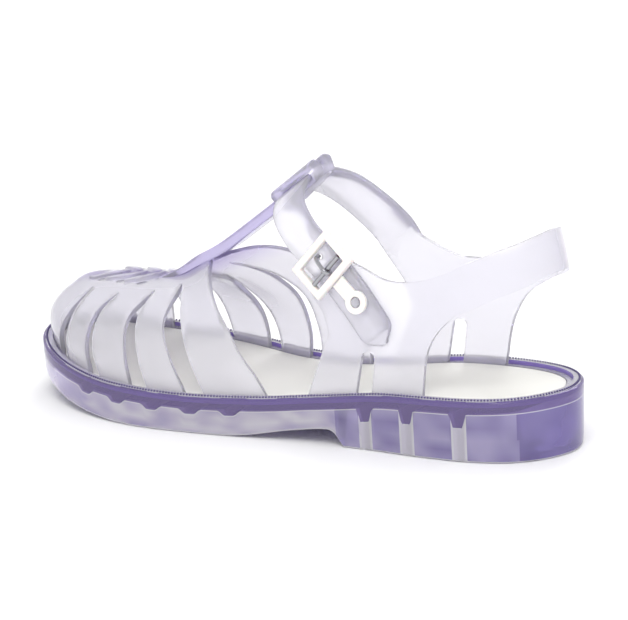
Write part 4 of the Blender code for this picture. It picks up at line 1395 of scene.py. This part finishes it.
def makeStrap():
    # Ankle strap from inside the inner quarter to its rounded tail, with the two holes in use
    count = len(strapPath) - 1
    innerEnd = (strapMiddle() - round(keeper["reach"] / strapStep)) / count
    roundEnd = 1 - strap["width"] / 2 / (strapStep * count)

    def hidden(t):
        return smooth(t / (strap["root"] * innerEnd))

    def span(t):
        if t < innerEnd:
            flare = strap["flare"] * math.sin(math.pi / 2 * (1 - t / innerEnd))
            return (strap["width"] + flare) * (0.45 + 0.55 * hidden(t))
        if t > roundEnd:
            return strap["width"] * max(0.2, 1 - ((t - roundEnd) / (1 - roundEnd)) ** 2.5)
        return strap["width"]

    def half(t):
        return strap["thick"] / 2 * (0.4 + 0.6 * hidden(t))

    body = ribbon("strap", strapPath, span, half, half)
    tip = buckle["length"] / 2 - buckle["bar"] - buckle["prongThick"]
    ring = -buckle["length"] / 2 - buckle["tongueReach"]
    for a in (tip, ring):
        hole = bucklePeg("hole", (a, 0), strap["hole"] / 2, -1.0 * mm, strap["thick"] + toolRoom, 24)
        combine(body, hole, "DIFFERENCE")
    return body


def makeUpper():
    upper = makeFeather()
    for name, make, rounding in (
        ("cage", makeCage, 0.5 * mm), ("quarters", makeQuarters, 0.5 * mm),
        ("keeper", makeKeeper, 0), ("strap", makeStrap, 0),
    ):
        body = make()
        if rounding:
            bevel(body, rounding, 2)
        print(name, len(body.data.polygons), flush=True)
        combine(upper, body, "UNION")
    tidy(upper, 0.005 * mm)
    paintRidge(upper)
    return finish(upper, strapPvc)


knurl = {
    "inset": 1.75 * mm,  # from the sole's edge
    "lift": 0.02 * mm,
    "pitch": 1.35 * mm,
    "length": 0.33,  # half of one lozenge, as a share of the pitch
    "width": 0.5 * mm,
}


def makeKnurl():
    # Fine knurl on the bead, one small dark lozenge per pitch along its line, its dark colour painted shade
    # of the grooves
    bm = bmesh.new()
    verts = [bm.verts.new((p.x, p.y, rim(p.y) + knurl["lift"])) for p in inset(knurl["inset"])]
    for a, b in zip(verts, verts[1:] + verts[:1]):
        bm.edges.new((a, b))
    obj = linked("knurlLook", meshFrom("knurlLook", bm))

    group = bpy.data.node_groups.new("knurl", "GeometryNodeTree")
    # The material is the dark violet of the painted groove shade
    settings = {"Pitch": knurl["pitch"], "Width": knurl["width"], "Material": knurlShadePvc}
    group.interface.new_socket("Geometry", in_out="INPUT", socket_type="NodeSocketGeometry")
    for name in settings:
        kind = "NodeSocketMaterial" if name == "Material" else "NodeSocketFloat"
        group.interface.new_socket(name, in_out="INPUT", socket_type=kind)
    group.interface.new_socket("Geometry", in_out="OUTPUT", socket_type="NodeSocketGeometry")
    start = group.nodes.new("NodeGroupInput")
    end = group.nodes.new("NodeGroupOutput")
    toCurve = group.nodes.new("GeometryNodeMeshToCurve")
    resample = group.nodes.new("GeometryNodeResampleCurve")
    resample.mode = "LENGTH"
    ball = group.nodes.new("GeometryNodeMeshUVSphere")
    ball.inputs["Segments"].default_value = 6
    ball.inputs["Rings"].default_value = 4
    ball.inputs["Radius"].default_value = 1.0
    onPoints = group.nodes.new("GeometryNodeInstanceOnPoints")
    tangent = group.nodes.new("GeometryNodeInputTangent")
    align = group.nodes.new("FunctionNodeAlignRotationToVector")
    align.axis = "Y"
    size = group.nodes.new("ShaderNodeCombineXYZ")
    half = group.nodes.new("ShaderNodeMath")
    half.operation = "MULTIPLY"
    half.inputs[1].default_value = knurl["length"]
    realize = group.nodes.new("GeometryNodeRealizeInstances")
    paint = group.nodes.new("GeometryNodeSetMaterial")
    for one, outlet, two, inlet in (
        (start, "Geometry", toCurve, "Mesh"),
        (toCurve, "Curve", resample, "Curve"),
        (start, "Pitch", resample, "Length"),
        (resample, "Curve", onPoints, "Points"),
        (ball, "Mesh", onPoints, "Instance"),
        (tangent, "Tangent", align, "Vector"),
        (align, "Rotation", onPoints, "Rotation"),
        (start, "Pitch", half, 0),
        (start, "Width", size, "X"),
        (half, "Value", size, "Y"),
        (start, "Width", size, "Z"),
        (size, "Vector", onPoints, "Scale"),
        (onPoints, "Instances", realize, "Geometry"),
        (realize, "Geometry", paint, "Geometry"),
        (start, "Material", paint, "Material"),
        (paint, "Geometry", end, "Geometry"),
    ):
        group.links.new(one.outputs[outlet], two.inputs[inlet])
    modifier = obj.modifiers.new("knurl", "NODES")
    modifier.node_group = group
    for item in group.interface.items_tree:
        if item.in_out == "INPUT" and item.name in settings:
            modifier[item.identifier] = settings[item.name]
    applyModifiers(obj)
    obj.data.materials.clear()
    obj.data.materials.append(knurlShadePvc)
    obj.data.shade_smooth()
    return obj


def makeBuckle():
    halfLong = buckle["length"] / 2
    halfWide = strap["width"] / 2 + sideRoom + buckle["bar"]
    low = strap["thick"] + 3 * clearance
    high = low + buckle["thick"]
    outer = buckleBox("buckleLook", (-halfLong, -halfWide, low), (halfLong, halfWide, high))
    window = (halfLong - buckle["bar"], halfWide - buckle["bar"])
    combine(outer, buckleBox("window", (-window[0], -window[1], low - 5 * mm),
                             (window[0], window[1], high + 5 * mm)), "DIFFERENCE")
    bevel(outer, 0.7 * mm, 4, 30)
    finish(outer, milkPlastic)

    rodHalf = buckle["rod"] / 2
    rodA = -window[0] + rodHalf + buckle["prongThick"] + 2 * clearance
    rodN = strap["thick"] + 4 * clearance + buckle["prongThick"] + rodHalf
    bm = bmesh.new()
    bmesh.ops.create_cone(bm, cap_ends=True, segments=32, radius1=rodHalf, radius2=rodHalf,
                          depth=2 * (window[1] - clearance))
    turn = Matrix.Translation((rodA, 0, rodN)) @ Matrix.Rotation(math.pi / 2, 4, "X")
    bmesh.ops.transform(bm, matrix=buckleMatrix() @ turn, verts=bm.verts)
    rod = finish(newObject("rodLook", bm), steel)

    _, run, across, normal = buckleAxes
    tip = window[0] - buckle["prongThick"]
    eye = buckle["rod"] / 2 + clearance + buckle["prongThick"] / 2
    route = []
    for k in range(25):
        angle = math.radians(-60 - k * 10)
        route.append(Vector((rodA + eye * math.cos(angle), rodN + eye * math.sin(angle))))
    ends = [
        route[-1],
        Vector((rodA + 1.2 * eye, rodN + 0.75 * eye)),
        Vector((tip - buckle["prongThick"], rodN + 0.2 * eye)),
        Vector((tip, rodN - 0.5 * eye)),
        Vector((tip, strap["thick"])),
    ]
    route += curve(ends, 0.5 * mm)[1:]
    prongFrames = []
    for i, place in enumerate(route):
        step = route[min(i + 1, len(route) - 1)] - route[max(i - 1, 0)]
        direction = (run * step.x + normal * step.y).normalized()
        prongFrames.append((placeAtBuckle(place.x, 0, place.y), direction, across.cross(direction)))

    def prongHalf(t):
        return buckle["prongThick"] / 2 * (1 - 0.2 * t)

    prong = ribbon("prongLook", prongFrames, lambda t: buckle["prongWidth"], prongHalf, prongHalf,
                   buckle["prongThick"] / 4)
    finish(prong, steel)

    seat = strap["thick"] + 3 * clearance
    top = seat + buckle["tongueThick"]
    ringA = -halfLong - buckle["tongueReach"]
    tongue = bucklePeg("tongueLook", (ringA, 0), buckle["ring"] / 2, seat, top, 64)
    neckHalf = buckle["tongueWidth"] / 2
    neck = buckleBox("neck", (ringA, -neckHalf, seat + overlap),
                     (-halfLong - clearance, neckHalf, top - overlap))
    combine(tongue, neck, "UNION")
    combine(tongue, bucklePeg("bore", (ringA, 0), buckle["ringHole"] / 2, 0, 12 * mm, 48), "DIFFERENCE")
    bevel(tongue, 0.3 * mm, 3, 40)
    finish(tongue, milkPlastic)

    stud = bucklePeg("studLook", (ringA, 0), buckle["stud"] / 2, seat, top + 0.4 * mm, 32)
    bevel(stud, 0.5 * mm, 3, 40)
    shaft = bucklePeg("shaft", (ringA, 0), strap["hole"] / 2 - clearance, clearance, seat + overlap, 24)
    combine(stud, shaft, "UNION")
    paintRidge(stud)
    finish(stud, strapPvc)
    return outer, rod, prong, tongue, stud


soleLook = makeOutsole()
print("sole", len(soleLook.data.polygons), flush=True)
insoleLook = makeInsole()
upperLook = makeUpper()
print("upper", len(upperLook.data.polygons), flush=True)
knurlLook = makeKnurl()
print("knurl", len(knurlLook.data.polygons), flush=True)
buckleOuter, rod, prong, tongue, stud = makeBuckle()
print("buckle", flush=True)

for piece, node, slotName in (
    (soleLook, "outsole", "sole_pvc"), (insoleLook, "insole", "insole_foam"),
    (upperLook, "upper", "upper_pvc"),
    (buckleOuter, "buckle_frame", "buckle_plastic"), (rod, "buckle_rod", "buckle_steel"),
    (prong, "buckle_prong", "buckle_steel"), (tongue, "buckle_tongue", "buckle_plastic"),
    (stud, "tongue_stud", "upper_pvc"),
):
    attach(piece, "root")
    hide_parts(node)
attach(knurlLook, "root")

# Floor
bm = bmesh.new()
bmesh.ops.create_grid(bm, x_segments=1, y_segments=1, size=4)
floor = linked("floor", meshFrom("floor", bm))
floor.data.materials.append(floorPaint)
floor.location.z = -0.0002

# Soft white studio light
studio = {
    "strength": 0.92,
    "lamps": (((-1.2, -0.6, 1.6), 14, 0.9), ((1.4, 0.4, 1.2), 7, 0.8)),  # place, power and size
}
world = bpy.data.worlds.new("studio")
bpy.context.scene.world = world
bpy.context.scene.view_settings.view_transform = "Standard"
world.use_nodes = True
world.node_tree.nodes["Background"].inputs["Color"].default_value = (1, 1, 1, 1)
world.node_tree.nodes["Background"].inputs["Strength"].default_value = studio["strength"]
for place, energy, size in studio["lamps"]:
    lamp = bpy.data.lights.new("softbox", "AREA")
    lamp.energy = energy
    lamp.size = size
    lampObject = linked("softbox", lamp)
    lampObject.location = place
    lampObject.rotation_euler = (Vector(place) - Vector((0, 0, 0.04))).to_track_quat("Z", "Y").to_euler()
print("light", flush=True)

# Camera at the photo's angle
view = {
    "back": (-0.8103, -0.5251, 0.2601),
    "right": (0.5363, -0.8434, -0.0322),
    "place": (-2.19935, -1.4758, 0.764),
    "sensor": 36,
    "lens": 387.7,
    "shift": (-0.144, -0.0306),
}
camera = bpy.data.cameras.new("camera")
cameraObject = linked("camera", camera)
bpy.context.scene.camera = cameraObject
back = Vector(view["back"]).normalized()
right = Vector(view["right"])
right = (right - back * right.dot(back)).normalized()
turn = Matrix((right, back.cross(right), back)).transposed().to_4x4()
turn.translation = Vector(view["place"])
cameraObject.matrix_world = turn
camera.sensor_width = view["sensor"]
camera.lens = view["lens"]
camera.shift_x, camera.shift_y = view["shift"]
camera.clip_end = 20
